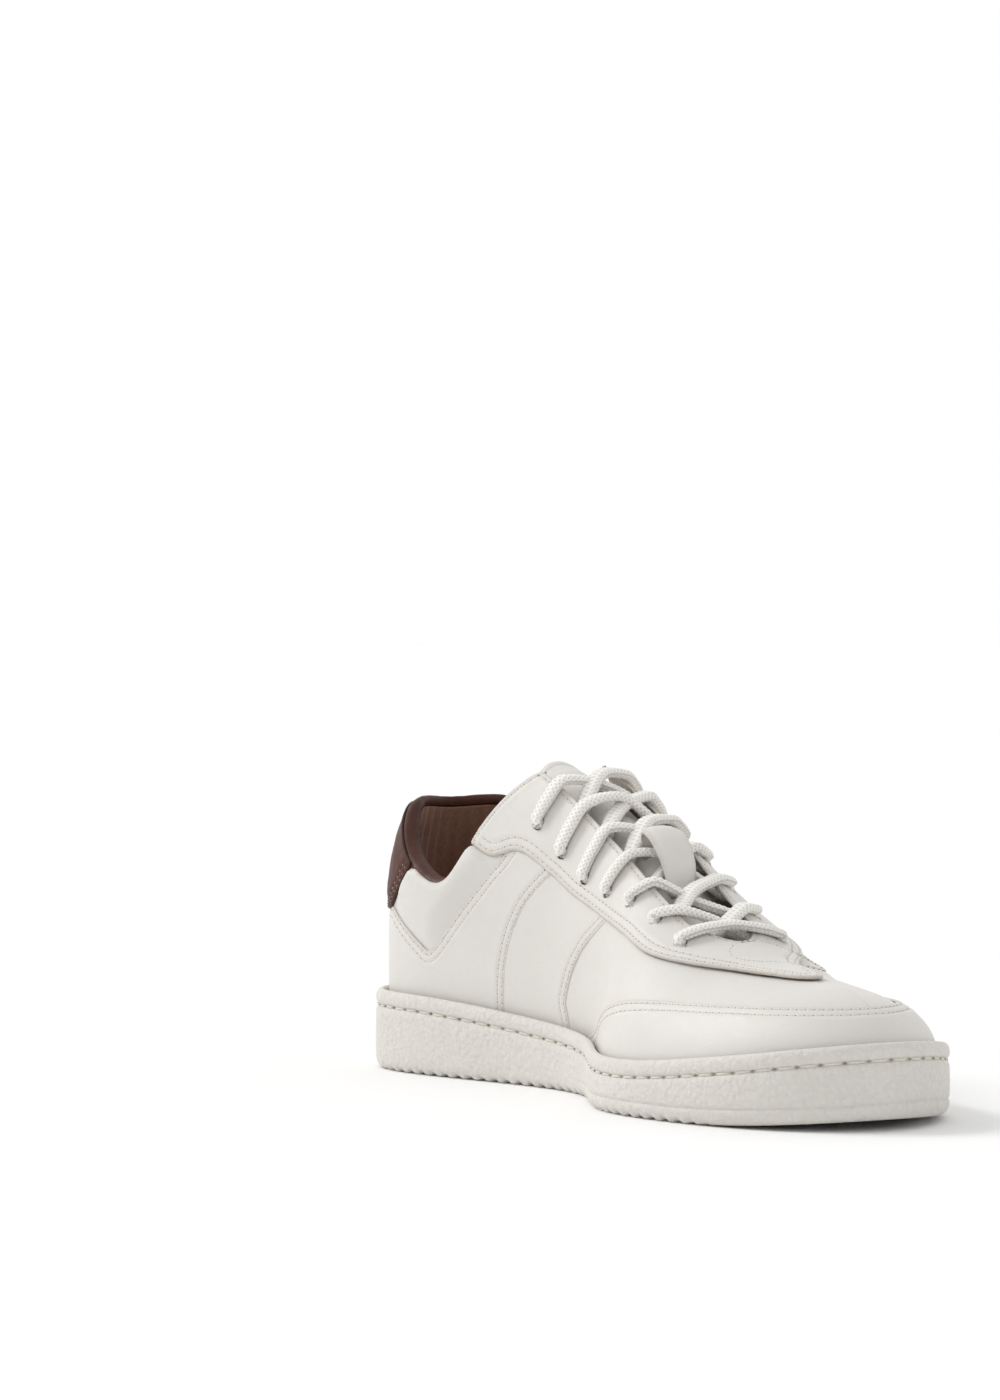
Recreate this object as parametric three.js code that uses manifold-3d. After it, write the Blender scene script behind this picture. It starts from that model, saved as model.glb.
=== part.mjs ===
// Low court shoe, left foot, built the way it is lasted: a rubber cupsole with a studded tread insert,
// a filler, a lasting board and a footbed inside it, and a leather upper of overlapping panels with
// its stiffeners, collar padding, linings, tongue and one lace. Millimetres, +X toe, +Y outer side, +Z up.
import * as THREE from 'three';
import { mergeVertices } from 'three/addons/utils/BufferGeometryUtils.js';
import Module from 'manifold-3d';

const wasm = await Module();
wasm.setup();

// ---- driving dimensions -------------------------------------------------------------------------
const SOLE_LENGTH = 300;
const SOLE_WIDTH = 112.6;
const GAP = 0.3;
// cupsole
const HEEL_WALL = 28;
const WAIST_WALL = 19;
const BALL_WALL = 18.3;
const TOE_WALL = 28;
const TOE_SPRING = 4;
const LIP_WIDTH = 3.2;
const CUP_FLOOR = 7.5;
const FLOOR_FILLET = 1.2;
const RIM_WIDTH = 14;
const GROOVE_DROP = 5.5;
const GROOVE_DEPTH = 1.3;
const GROOVE_HALF = 0.8;
const THREAD_RADIUS = 0.45;
// tread insert
const RECESS_DEPTH = 3.2;
const PLATE_THICKNESS = 1.6;
const PIVOT_RINGS = [[0, 7.8, 1.3], [7.8, 10.9, 0.5], [12.9, 15.4, 0.5], [17.4, 20, 0.5], [21.9, 24.8, 0.5]];
const HEEL_DISC_RADIUS = 11.4;
const BAR_PITCH = 4.6;
const BAR_WIDTH = 3.2;
const BAR_COUNT = 4;
// inside of the cup
const FILLER_FRONT = 10;
const FILLER_HEEL = 17.5;
const BOARD_THICKNESS = 1.2;
const FOAM_THICKNESS = 3.5;
const COVER_THICKNESS = 1;
const FOOTBED_CLEARANCE = 1.2;
// upper
const LEATHER = 1.2;
const STIFFENER = 1;
const LINING = 0.8;
const COLLAR_PAD = 4.2;
const HEEL_HEIGHT = 94;
const ANKLE_HEIGHT = 68;
const INSTEP_HEIGHT = 112;
const TOE_BOX_HEIGHT = 45;
const HEEL_LEAN = 9;
const RIM_RADIUS = 1.4;
// lacing
const EYELET_COUNT = 7;
const EYELET_RADIUS = 2.5;
const EYELET_SPREAD = 20;
const THROAT_HALF = 12.5;
const LACE_RADIUS = 1.3;
const AGLET_LENGTH = 20;
const AGLET_RADIUS = 1.4;
// tongue
const TONGUE_DEPTH = 7.5;
const TONGUE_FOAM = 3.2;
const LOOP_LENGTH = 17;
const LOOP_WIDTH = 15;
const LOOP_RISE = 12;
const LOOP_THICKNESS = 1.2;

// fineness of the faceted surfaces
const SOLE_STEPS = 30;
const ROUND_STEPS = 14;

// layers of the upper, measured inwards from its outermost surface
const OVERLAY = [0, LEATHER];
const BODY = [LEATHER + GAP, 2 * LEATHER + GAP];
const INNER = BODY[1] + GAP;
const STIFF = [INNER, INNER + STIFFENER];
const LINED = [STIFF[1] + GAP, STIFF[1] + GAP + LINING];

// ---- small maths --------------------------------------------------------------------------------
// a smooth curve through [place, value] points, flat beyond its ends
function through(points) {
  const slope = points.map((_, i) => {
    const before = points[Math.max(i - 1, 0)];
    const after = points[Math.min(i + 1, points.length - 1)];
    return (after[1] - before[1]) / (after[0] - before[0]);
  });
  return (place) => {
    const x = Math.min(Math.max(place, points[0][0]), points.at(-1)[0]);
    let k = 0;
    while (k < points.length - 2 && x > points[k + 1][0]) k += 1;
    const step = points[k + 1][0] - points[k][0];
    const u = (x - points[k][0]) / step;
    const rise = (2 * u ** 3 - 3 * u ** 2 + 1) * points[k][1] + (3 * u ** 2 - 2 * u ** 3) * points[k + 1][1];
    return rise + step * ((u ** 3 - 2 * u ** 2 + u) * slope[k] + (u ** 3 - u ** 2) * slope[k + 1]);
  };
}

const mix = (a, b, u) => a + (b - a) * u;
const clamp = (x, low, high) => Math.min(Math.max(x, low), high);
const range = (count) => Array.from({ length: count + 1 }, (_, i) => i / count);

// places along the shoe are fractions of its length, places across it fractions of its width
const along = (fraction) => fraction * SOLE_LENGTH;
const across = (fraction) => fraction * SOLE_WIDTH;
const alongCurve = (points) => through(points.map(([f, value]) => [along(f), value]));

// ---- outline of the sole ------------------------------------------------------------------------
// control points of a closed cubic B-spline, heel, outer side, toe, inner side
const OUTLINE = [
  [-0.036, -0.004], [0.068, 0.384], [0.221, 0.379], [0.364, 0.421], [0.507, 0.445], [0.653, 0.544],
  [0.795, 0.419], [0.928, 0.305], [1.039, -0.079], [0.932, -0.415], [0.785, -0.494], [0.641, -0.505],
  [0.514, -0.234], [0.369, -0.234], [0.231, -0.321], [0.074, -0.371],
].map(([f, g]) => new THREE.Vector2(along(f), across(g)));

function outlineAt(turn) {
  const count = OUTLINE.length;
  const place = (turn - Math.floor(turn)) * count;
  const k = Math.floor(place);
  const u = place - k;
  const weights = [(1 - u) ** 3, 3 * u ** 3 - 6 * u ** 2 + 4, -3 * u ** 3 + 3 * u ** 2 + 3 * u + 1, u ** 3];
  const point = new THREE.Vector2();
  weights.forEach((w, i) => point.addScaledVector(OUTLINE[(k + i - 1 + count) % count], w / 6));
  return point;
}

// a point of the outline moved inwards
function inset(turn, depth) {
  const step = 1e-4;
  const tangent = outlineAt(turn + step).sub(outlineAt(turn - step)).normalize();
  return outlineAt(turn).add(new THREE.Vector2(tangent.y, -tangent.x).multiplyScalar(depth));
}

const station = (turn) => inset(turn, LIP_WIDTH).x;

function extreme(low, high, sign) {
  let best = low;
  for (const u of range(4000)) {
    const turn = mix(low, high, u);
    if (sign * station(turn) > sign * station(best)) best = turn;
  }
  return best;
}

const HEEL_TURN = extreme(-0.1, 0.1, -1);
const TOE_TURN = extreme(0.4, 0.6, 1);
const HEEL_END = station(HEEL_TURN);
const TOE_END = station(TOE_TURN);

// where the base of the upper reaches a station, on the outer side (1) or the inner side (-1)
function turnAt(x, side) {
  const target = clamp(x, HEEL_END, TOE_END);
  let low = side > 0 ? HEEL_TURN : HEEL_TURN + 1;
  let high = TOE_TURN;
  for (let i = 0; i < 40; i += 1) {
    const middle = (low + high) / 2;
    if (station(middle) < target) low = middle;
    else high = middle;
  }
  return (low + high) / 2;
}

// ---- heights along the shoe ---------------------------------------------------------------------
const lipHeight = alongCurve([
  [0, HEEL_WALL], [0.2, HEEL_WALL - 0.5], [0.43, (HEEL_WALL + WAIST_WALL) / 2 - 1.5], [0.57, WAIST_WALL],
  [0.72, BALL_WALL], [0.87, (BALL_WALL + TOE_WALL) / 2 - 0.7], [1, TOE_WALL],
]);
const springStart = along(0.783);
const underside = (x) => (x > springStart ? TOE_SPRING * ((x - springStart) / along(0.217)) ** 2 : 0);
const fillerShare = (x) => clamp((x - along(0.3)) / along(0.3), 0, 1);
const fillerTop = (x) => underside(x) + mix(FILLER_HEEL, FILLER_FRONT, fillerShare(x));
const boardTop = (x) => fillerTop(x) + GAP + BOARD_THICKNESS;

// ---- surface of the upper -----------------------------------------------------------------------
const ridgeHeight = alongCurve([
  [0.07, INSTEP_HEIGHT + 16], [0.2, INSTEP_HEIGHT + 9], [0.333, INSTEP_HEIGHT], [0.467, 93], [0.6, 68],
  [0.733, 50.5], [0.817, TOE_BOX_HEIGHT + 2], [0.873, TOE_BOX_HEIGHT],
]);
const ridgeSide = alongCurve([[0.067, 0], [0.2, 1], [0.4, 4], [0.6, -1], [0.767, -6], [0.873, -6]]);
const fullness = alongCurve([[0.067, 3.2], [0.2, 3], [0.4, 2], [0.6, 2], [0.767, 1.9], [0.873, 1.9]]);
const innerRound = alongCurve([[0.067, 2], [0.2, 2.1], [0.6, 2.1], [0.767, 2.2], [0.873, 2.2]]);
const outerRound = alongCurve([[0.067, 2], [0.2, 2.1], [0.4, 1.7], [0.6, 1.65], [0.767, 1.7], [0.873, 1.7]]);
const RIDGE_START = along(0.08);
const RIDGE_END = along(0.86);
const RIDGE_BLEND = 9;
const softStep = (u) => (u > 20 ? u : Math.log1p(Math.exp(u)));

function ridgeStation(x) {
  const rise = softStep((x - RIDGE_START) / RIDGE_BLEND) - softStep((x - RIDGE_END) / RIDGE_BLEND);
  return RIDGE_START + RIDGE_BLEND * rise;
}

function sectionAt(turn) {
  const x = ridgeStation(station(turn));
  const y = ridgeSide(x);
  const outer = 1 / (1 + Math.exp(-(inset(turn, LIP_WIDTH).y - y) / 6));
  return {
    x,
    y,
    top: ridgeHeight(x),
    base: lipHeight(station(turn)) - 2,
    height: fullness(x),
    round: mix(innerRound(x), outerRound(x), outer),
  };
}

// a point of the upper: turn round the sole, angle 0 at the lip to a quarter turn on the ridge,
// depth below the outermost surface. Below the lip the surface drops straight into the cup.
function upperPoint(turn, angle, depth) {
  const s = sectionAt(turn);
  const foot = inset(turn, LIP_WIDTH + GAP + depth);
  const lift = Math.max(angle, 0);
  const out = Math.cos(lift) ** (2 / s.round);
  const rise = (s.top - depth - s.base) * Math.sin(lift) ** (2 / s.height);
  const z = s.base + rise + Math.min(angle, 0);
  const x = mix(s.x, foot.x, out);
  const lean = clamp((z - 25) / 63, 0, 1.3);
  const fade = clamp((along(0.15) - x) / along(0.15), 0, 1);
  const shift = (HEEL_LEAN * lean ** 3 - 1.5 * Math.sin(Math.PI * clamp(lean, 0, 1))) * fade;
  return new THREE.Vector3(x + shift, mix(s.y, foot.y, out), z);
}

// the angle at which the surface reaches a height
function angleAt(turn, z) {
  const s = sectionAt(turn);
  if (z <= s.base) return z - s.base;
  return Math.asin(clamp((z - s.base) / (s.top - s.base), 0, 1) ** (s.height / 2));
}

// a place on the upper from a station and a position round it: -1 inner lip, 0 ridge, 1 outer lip
function placeAt(x, round) {
  const side = round < 0 ? -1 : 1;
  return { x, turn: turnAt(x, side), angle: (1 - Math.abs(round)) * (Math.PI / 2) };
}

// the position round the upper at a height, or at a distance across from the ridge
function roundAt(x, z, side) {
  return side * (1 - angleAt(turnAt(x, side), z) / (Math.PI / 2));
}

function roundAcross(x, distance) {
  const side = distance < 0 ? -1 : 1;
  const turn = turnAt(x, side);
  const s = sectionAt(turn);
  const reach = Math.abs(inset(turn, LIP_WIDTH + GAP).y - s.y);
  const share = clamp(Math.abs(distance) / reach, 0, 1);
  return side * (1 - Math.acos(share ** (s.round / 2)) / (Math.PI / 2));
}

const liftPlace = (place, depth) => upperPoint(place.turn, place.angle, depth);
const depthsOf = (layer) => (Array.isArray(layer) ? () => layer : layer);

// ---- solids -------------------------------------------------------------------------------------
function geometryOf(points, faces) {
  const geometry = new THREE.BufferGeometry();
  geometry.setAttribute('position', new THREE.Float32BufferAttribute(points.flatMap((p) => p.toArray()), 3));
  geometry.setIndex(faces.flat());
  const merged = mergeVertices(geometry, 1e-4);
  const index = Array.from(merged.index.array);
  const kept = [];
  for (let i = 0; i < index.length; i += 3) {
    const [a, b, c] = index.slice(i, i + 3);
    if (a !== b && b !== c && a !== c) kept.push(a, b, c);
  }
  merged.setIndex(kept);
  return merged;
}

function solidVolume(geometry) {
  const { position } = geometry.attributes;
  const index = geometry.index.array;
  const [a, b, c] = [new THREE.Vector3(), new THREE.Vector3(), new THREE.Vector3()];
  let volume = 0;
  for (let i = 0; i < index.length; i += 3) {
    a.fromBufferAttribute(position, index[i]);
    b.fromBufferAttribute(position, index[i + 1]);
    c.fromBufferAttribute(position, index[i + 2]);
    volume += a.dot(b.cross(c)) / 6;
  }
  return volume;
}

function facingOut(geometry) {
  if (solidVolume(geometry) >= 0) return geometry;
  const index = geometry.index.array;
  for (let i = 0; i < index.length; i += 3) [index[i], index[i + 1]] = [index[i + 1], index[i]];
  return geometry;
}

// a sheet with thickness: rows of places, lifted to two depths. A zipped end closes on itself.
function sheet(rows, layer, { zippedStart = false, zippedEnd = false } = {}) {
  const depths = depthsOf(layer);
  const count = rows[0].length;
  const outer = rows.flatMap((row) => row.map((p) => liftPlace(p, depths(p)[0])));
  const inner = rows.flatMap((row) => row.map((p) => liftPlace(p, depths(p)[1])));
  const under = outer.length;
  const faces = [];
  const quad = (a, b, c, d) => faces.push([a, b, c], [a, c, d]);
  for (let i = 0; i + 1 < rows.length; i += 1) {
    for (let j = 0; j + 1 < count; j += 1) {
      const a = i * count + j;
      quad(a, a + 1, a + count + 1, a + count);
      quad(under + a, under + a + count, under + a + count + 1, under + a + 1);
    }
    const first = i * count;
    const last = first + count - 1;
    quad(first, first + count, under + first + count, under + first);
    quad(last, under + last, under + last + count, last + count);
  }
  const end = (rows.length - 1) * count;
  for (let j = 0; j + 1 < count; j += 1) {
    if (!zippedStart) quad(j, under + j, under + j + 1, j + 1);
    if (!zippedEnd) quad(end + j, end + j + 1, under + end + j + 1, under + end + j);
  }
  return facingOut(geometryOf([...outer, ...inner], faces));
}

// turns round the sole in matching pairs: heel, outer side, toe, inner side
function pairedTurns(count) {
  const stops = range(count).map((u) => mix(HEEL_END, TOE_END, (1 - Math.cos(Math.PI * u)) / 2));
  const outer = stops.map((x, i) => (i === 0 ? HEEL_TURN : i === count ? TOE_TURN : turnAt(x, 1)));
  const inner = stops.slice(1, -1).map((x) => turnAt(x, -1)).reverse();
  return [...outer, ...inner];
}

// a body of closed rings round the sole: each ring is an inset and a height, ends are closed flat
function ringBody(rings) {
  const turns = pairedTurns(SOLE_STEPS);
  const count = turns.length;
  const points = rings.flatMap(([depth, height]) => turns.map((turn) => {
    const p = inset(turn, depth);
    const z = typeof height === 'function' ? height(p.x) : height;
    return new THREE.Vector3(p.x, p.y, z);
  }));
  const faces = [];
  for (let r = 0; r + 1 < rings.length; r += 1) {
    for (let i = 0; i < count; i += 1) {
      const next = (i + 1) % count;
      const [a, b] = [r * count + i, r * count + next];
      faces.push([a, b, b + count], [a, b + count, a + count]);
    }
  }
  const cap = (start, flip) => {
    for (let i = 0; i < count / 2; i += 1) {
      const [a, b] = [start + i, start + i + 1];
      const [c, d] = [start + (count - i - 1), start + ((count - i) % count)];
      faces.push(...(flip ? [[a, b, c], [a, c, d]] : [[a, c, b], [a, d, c]]));
    }
  };
  cap(0, false);
  cap((rings.length - 1) * count, true);
  return facingOut(geometryOf(points, faces));
}

// ---- joining and cutting ------------------------------------------------------------------------
function toSolid(geometry) {
  const bare = geometry.clone();
  bare.deleteAttribute('normal');
  bare.deleteAttribute('uv');
  const merged = mergeVertices(bare, 1e-4);
  return new wasm.Manifold(new wasm.Mesh({
    numProp: 3,
    vertProperties: new Float32Array(merged.attributes.position.array),
    triVerts: new Uint32Array(merged.index.array),
  }));
}

function fromSolid(solid) {
  const { vertProperties, triVerts } = solid.getMesh();
  const geometry = new THREE.BufferGeometry();
  geometry.setAttribute('position', new THREE.Float32BufferAttribute(vertProperties, 3));
  geometry.setIndex(Array.from(triVerts));
  return geometry;
}

function joined(parts) {
  return fromSolid(parts.map(toSolid).reduce((all, next) => all.add(next)));
}

const model = new THREE.Group();

function add(name, geometry, material) {
  geometry.computeVertexNormals();
  const mesh = new THREE.Mesh(geometry, material);
  mesh.name = name;
  model.add(mesh);
}

const finish = (color, roughness) => new THREE.MeshStandardMaterial({ color, roughness, metalness: 0 });
const whiteRubber = finish(0xe9e7df, 0.7);
const whiteLeather = finish(0xece9e2, 0.5);
const brownLeather = finish(0x6b3524, 0.5);
const brownLining = finish(0x8a5f4c, 0.8);
const creamTextile = finish(0xe9e3d6, 0.9);
const foam = finish(0xd8cfae, 0.9);
const board = finish(0xc9bfa6, 0.9);

// ---- sole unit ----------------------------------------------------------------------------------
const raised = (height) => (x) => underside(x) + height;
const belowLip = (drop) => (x) => lipHeight(x) - drop;

function cupsole() {
  return ringBody([
    [LIP_WIDTH + FLOOR_FILLET, raised(CUP_FLOOR)],
    [LIP_WIDTH, raised(CUP_FLOOR + FLOOR_FILLET)],
    [LIP_WIDTH, belowLip(0.5)],
    [LIP_WIDTH - 0.7, belowLip(0)],
    [1.6, belowLip(0.2)],
    [0.6, belowLip(1.5)],
    [0.3, belowLip(GROOVE_DROP - GROOVE_HALF)],
    [GROOVE_DEPTH, belowLip(GROOVE_DROP)],
    [0.2, belowLip(GROOVE_DROP + GROOVE_HALF)],
    [0, (x) => mix(underside(x), lipHeight(x), 0.4)],
    [0.2, raised(2.4)],
    [1.8, raised(0)],
    [RIM_WIDTH - 0.4, raised(0)],
    [RIM_WIDTH, raised(0.5)],
    [RIM_WIDTH, raised(RECESS_DEPTH)],
  ]);
}

// a flat ring or disc of the tread, standing down from the plate to a height above the ground
function turnedRing(inner, outer, low, high) {
  const profile = [[inner, low], [outer, low], [outer, high], [inner, high], [inner, low]];
  const ring = new THREE.LatheGeometry(profile.map(([r, z]) => new THREE.Vector2(r, z)), 28);
  return ring.rotateX(Math.PI / 2);
}

function placed(geometry, x, y) {
  return geometry.translate(x, y, 0);
}

const treadDepth = RIM_WIDTH + GAP;
const treadEdge = (x, side) => {
  let low = side > 0 ? 0 : 1;
  let high = 0.5;
  for (let i = 0; i < 40; i += 1) {
    const middle = (low + high) / 2;
    if (inset(middle, treadDepth).x < x) low = middle;
    else high = middle;
  }
  return inset(low, treadDepth).y;
};

function bar(x) {
  const low = treadEdge(x, -1) + 4;
  const high = treadEdge(x, 1) - 4;
  const base = underside(x);
  const block = new THREE.BoxGeometry(BAR_WIDTH, high - low, RECESS_DEPTH - GAP - 0.7);
  return block.translate(x, (low + high) / 2, base + 0.5 + (RECESS_DEPTH - GAP - 0.7) / 2);
}

function treadPanel() {
  const top = RECESS_DEPTH - GAP;
  const plate = ringBody([[treadDepth, raised(top - PLATE_THICKNESS)], [treadDepth, raised(top)]]);
  const features = PIVOT_RINGS.map(([inner, outer, low]) => (
    placed(turnedRing(inner, outer, low, top - 0.8), along(0.716), across(-0.213))));
  features.push(placed(turnedRing(0, HEEL_DISC_RADIUS, 0.5, top - 0.8), along(0.384), across(0.08)));
  for (let i = 0; i < BAR_COUNT; i += 1) {
    features.push(bar(along(0.065) + i * BAR_PITCH));
    features.push(bar(along(0.895) + i * BAR_PITCH));
  }
  const footprint = ringBody([[treadDepth, raised(0.3)], [treadDepth, raised(top)]]);
  return fromSolid(toSolid(joined([plate, ...features])).intersect(toSolid(footprint)));
}

const insideCup = LIP_WIDTH + GAP;
const boardEdge = LIP_WIDTH + GAP + LINED[1] + FOOTBED_CLEARANCE;

function fillet(depth, low, high) {
  return ringBody([[depth + FLOOR_FILLET, low], [depth, (x) => low(x) + FLOOR_FILLET], [depth, high]]);
}

add('cupsole', cupsole(), whiteRubber);
add('tread_panel', treadPanel(), whiteRubber);
add('midsole_filler', fillet(insideCup, raised(CUP_FLOOR + GAP), fillerTop), foam);
add('strobel_board', ringBody([
  [insideCup, (x) => fillerTop(x) + GAP], [insideCup, boardTop],
]), board);

const footbedLow = (x) => boardTop(x) + GAP;
const footbedHigh = (x) => footbedLow(x) + FOAM_THICKNESS;
add('footbed_foam', ringBody([
  [boardEdge, footbedLow], [boardEdge - 0.4, footbedHigh],
]), foam);
add('footbed_cover', ringBody([
  [boardEdge - 0.4, (x) => footbedHigh(x) + GAP], [boardEdge, (x) => footbedHigh(x) + GAP + COVER_THICKNESS],
]), brownLining);

// the thread that runs round the wall in its groove
function threadRing(depth, drop, radius) {
  const turns = pairedTurns(SOLE_STEPS);
  const sides = 4;
  const points = turns.flatMap((turn) => range(sides).slice(0, sides).map((u) => {
    const p = inset(turn, depth - radius * Math.cos(2 * Math.PI * u));
    return new THREE.Vector3(p.x, p.y, lipHeight(p.x) - drop + radius * Math.sin(2 * Math.PI * u));
  }));
  const faces = [];
  for (let i = 0; i < turns.length; i += 1) {
    for (let j = 0; j < sides; j += 1) {
      const a = i * sides + j;
      const b = i * sides + ((j + 1) % sides);
      const c = ((i + 1) % turns.length) * sides;
      faces.push([a, b, c + (b % sides)], [a, c + (b % sides), c + j]);
    }
  }
  return facingOut(geometryOf(points, faces));
}

add('cupsole_stitch', threadRing(THREAD_RADIUS / 2, GROOVE_DROP, THREAD_RADIUS), creamTextile);

// ---- edges of the panels, as heights over stations --------------------------------------------
const seat = (turn) => boardTop(station(turn)) + GAP;
const topline = alongCurve([
  [0, HEEL_HEIGHT], [0.04, HEEL_HEIGHT + 1], [0.067, HEEL_HEIGHT - 1], [0.093, HEEL_HEIGHT - 6.5],
  [0.127, ANKLE_HEIGHT + 10.5], [0.15, ANKLE_HEIGHT + 5.5], [0.193, ANKLE_HEIGHT], [0.22, ANKLE_HEIGHT + 2],
  [0.25, ANKLE_HEIGHT + 14], [0.287, ANKLE_HEIGHT + 24.5], [0.317, ANKLE_HEIGHT + 30],
  [0.34, ANKLE_HEIGHT + 31],
]);
const eyestayEdge = alongCurve([
  [0.25, 82], [0.285, 78], [0.325, 80], [0.38, 73], [0.43, 66], [0.507, 59.5], [0.58, 55.5],
  [0.647, 51], [0.713, 48.5], [0.767, 47.2], [0.82, 46.5],
]);
const rearSeam = through([[20, along(0.323)], [40, along(0.323)], [58, along(0.34)], [73, along(0.38)],
  [84, along(0.43)]]);
const vampEdge = through([[14, along(0.45)], [24, along(0.44)], [31, along(0.433)], [47, along(0.457)],
  [59, along(0.507)], [68, along(0.56)]]);
const overlayEdge = alongCurve([
  [0.5, 20], [0.53, 23], [0.567, 29], [0.623, 34], [0.68, 37], [0.8, 38], [1, 39],
]);
const collarEdge = alongCurve([
  [0.1, 58], [0.137, 52], [0.19, 44], [0.21, 47.5], [0.253, 62], [0.287, 73.5], [0.3, 77],
]);
const tabEdge = alongCurve([[0, 56], [0.093, 57.5], [0.12, 64], [0.147, 73]]);

// ---- panels of the upper ------------------------------------------------------------------------
// the whole upper as one shell between two depths. Every panel is cut from such a shell, so that the
// layers nest facet by facet.
function shell(layer) {
  const stops = range(SOLE_STEPS).map((u) => mix(HEEL_END, TOE_END, (1 - Math.cos(Math.PI * u)) / 2));
  const grid = stops.map((x, i) => range(ROUND_STEPS).map((v) => {
    const place = placeAt(x, Number(mix(-1, 1, v).toFixed(9)));
    if (i === 0) place.turn = HEEL_TURN;
    if (i === SOLE_STEPS) place.turn = TOE_TURN;
    if (v === 0 || v === 1) place.angle = angleAt(place.turn, seat(place.turn));
    return place;
  }));
  return toSolid(sheet(grid, layer, { zippedStart: true, zippedEnd: true }));
}

const MARGIN = 2.6;
const reachOf = (layer, place) => {
  const [outer, inner] = depthsOf(layer)(place);
  return [outer - MARGIN, inner + MARGIN];
};

function block(rows, layer, ends) {
  return toSolid(sheet(rows, (place) => reachOf(layer, place), ends));
}

// places between two edges along the shoe and two heights, as rows of the height
function panel({ from, to, low, high, rows, columns }) {
  return range(rows).map((v) => range(columns).map((u) => {
    const turn = mix(from(v), to(v), u);
    const angle = angleAt(turn, mix(low(turn), high(turn), v));
    return { turn, angle, x: station(turn) };
  }));
}

const belowSeat = (turn) => seat(turn) - 3;
const roundHeel = (x) => ({ from: () => turnAt(x, -1) - 1, to: () => turnAt(x, 1) });
const roundToe = (x) => ({ from: () => turnAt(x, 1), to: () => turnAt(x, -1) });
const sidePanel = (from, to, side) => ({ from: () => turnAt(from, side), to: () => turnAt(to, side) });
const underEyestay = (x) => eyestayEdge(x) + 4;
const bodyTop = (turn) => {
  const x = station(turn);
  return x < along(0.25) ? topline(x) : Math.min(topline(x) - 1, underEyestay(x));
};

const bodyShell = shell(BODY);
const overlayShell = shell(OVERLAY);

// the band between quarter and vamp, grown by a margin where its neighbours are cut back to it
function stripeBlock(side, growth) {
  const low = belowSeat;
  const high = (turn) => underEyestay(station(turn)) + 3 * growth;
  const edge = (curve, shift) => (v) => {
    const first = turnAt(curve(mix(15, 70, v)), side);
    const second = turnAt(curve(mix(low(first), high(first), v)), side);
    return turnAt(curve(mix(low(second), high(second), v)) + shift, side);
  };
  const ends = { from: edge(rearSeam, -growth), to: edge(vampEdge, growth) };
  return block(panel({ ...ends, low, high, rows: 9, columns: 3 }), BODY);
}

// a quarter runs from the seam down the back of the heel to the middle of the band
function quarter(side) {
  const heel = side > 0 ? HEEL_TURN + 0.0005 : HEEL_TURN + 0.9995;
  const whole = block(panel({
    from: () => heel,
    to: () => turnAt(along(0.4), side),
    low: belowSeat,
    high: bodyTop,
    rows: 5,
    columns: 22,
  }), BODY);
  return bodyShell.intersect(whole).subtract(stripeBlock(side, GAP));
}

// the vamp starts in the middle of the bands, runs under the eyestay and closes round the toe
const VAMP_START = [
  [-1.2, along(0.42)], [-1, along(0.42)], [-0.62, along(0.45)], [-0.52, along(0.507)],
  [-0.4, along(0.62)], [-0.25, along(0.7)], [0, along(0.72)],
];
const vampStart = through([...VAMP_START, ...VAMP_START.slice(0, -1).reverse().map(([r, x]) => [-r, x])]);

function forepart(startAt, layer) {
  const grid = range(SOLE_STEPS / 2).map((u) => range(ROUND_STEPS).map((v) => {
    const round = Number(mix(-1, 1, v).toFixed(9));
    const ease = (1 - Math.cos(Math.PI * u)) / 2;
    const place = placeAt(mix(startAt(round), TOE_END, mix(u, ease, u)), round);
    if (u === 1) place.turn = TOE_TURN;
    if (v === 0 || v === 1) place.angle = angleAt(place.turn, belowSeat(place.turn));
    return place;
  }));
  return block(grid, layer, { zippedEnd: true });
}

// the U of the eyestay: from its outer edge to the throat, inner side, front, outer side
const THROAT_START = along(0.317);
const THROAT_END = along(0.695);
const EYESTAY_FRONT = along(0.885);

function eyestayRim(u) {
  const half = Math.abs(2 * u - 1);
  const side = u < 0.5 ? -1 : 1;
  const x = mix(EYESTAY_FRONT, along(0.25), half ** 1.6);
  const round = x < along(0.82)
    ? roundAt(x, eyestayEdge(x), side)
    : roundAt(along(0.82), eyestayEdge(along(0.82)), side) * ((EYESTAY_FRONT - x) / along(0.065)) ** 0.5;
  return { x, round };
}

function throatRim(u, spread = THROAT_HALF) {
  const half = Math.abs(2 * u - 1);
  const side = u < 0.5 ? -1 : 1;
  const x = mix(THROAT_END, THROAT_START, half ** 1.3);
  const squeeze = clamp((THROAT_END - x) / along(0.05), 0, 1) ** 0.5;
  return { x, round: roundAcross(x, side * spread * squeeze) };
}

function yoke(layer, steps, columns) {
  const grid = range(steps).map((u) => range(columns).map((v) => {
    const rim = eyestayRim(u);
    const throat = throatRim(u);
    return placeAt(mix(rim.x, throat.x, v), mix(rim.round, throat.round, v));
  }));
  return block(grid, layer);
}

// the rows open up a little towards the toe
function eyeletStation(row) {
  const u = row / (EYELET_COUNT - 1);
  return mix(along(0.347), along(0.673), u - 0.132 * u * (1 - u));
}

function spot(x, distance, depth) {
  const place = placeAt(x, roundAcross(x, distance));
  return upperPoint(place.turn, place.angle, depth);
}

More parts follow.
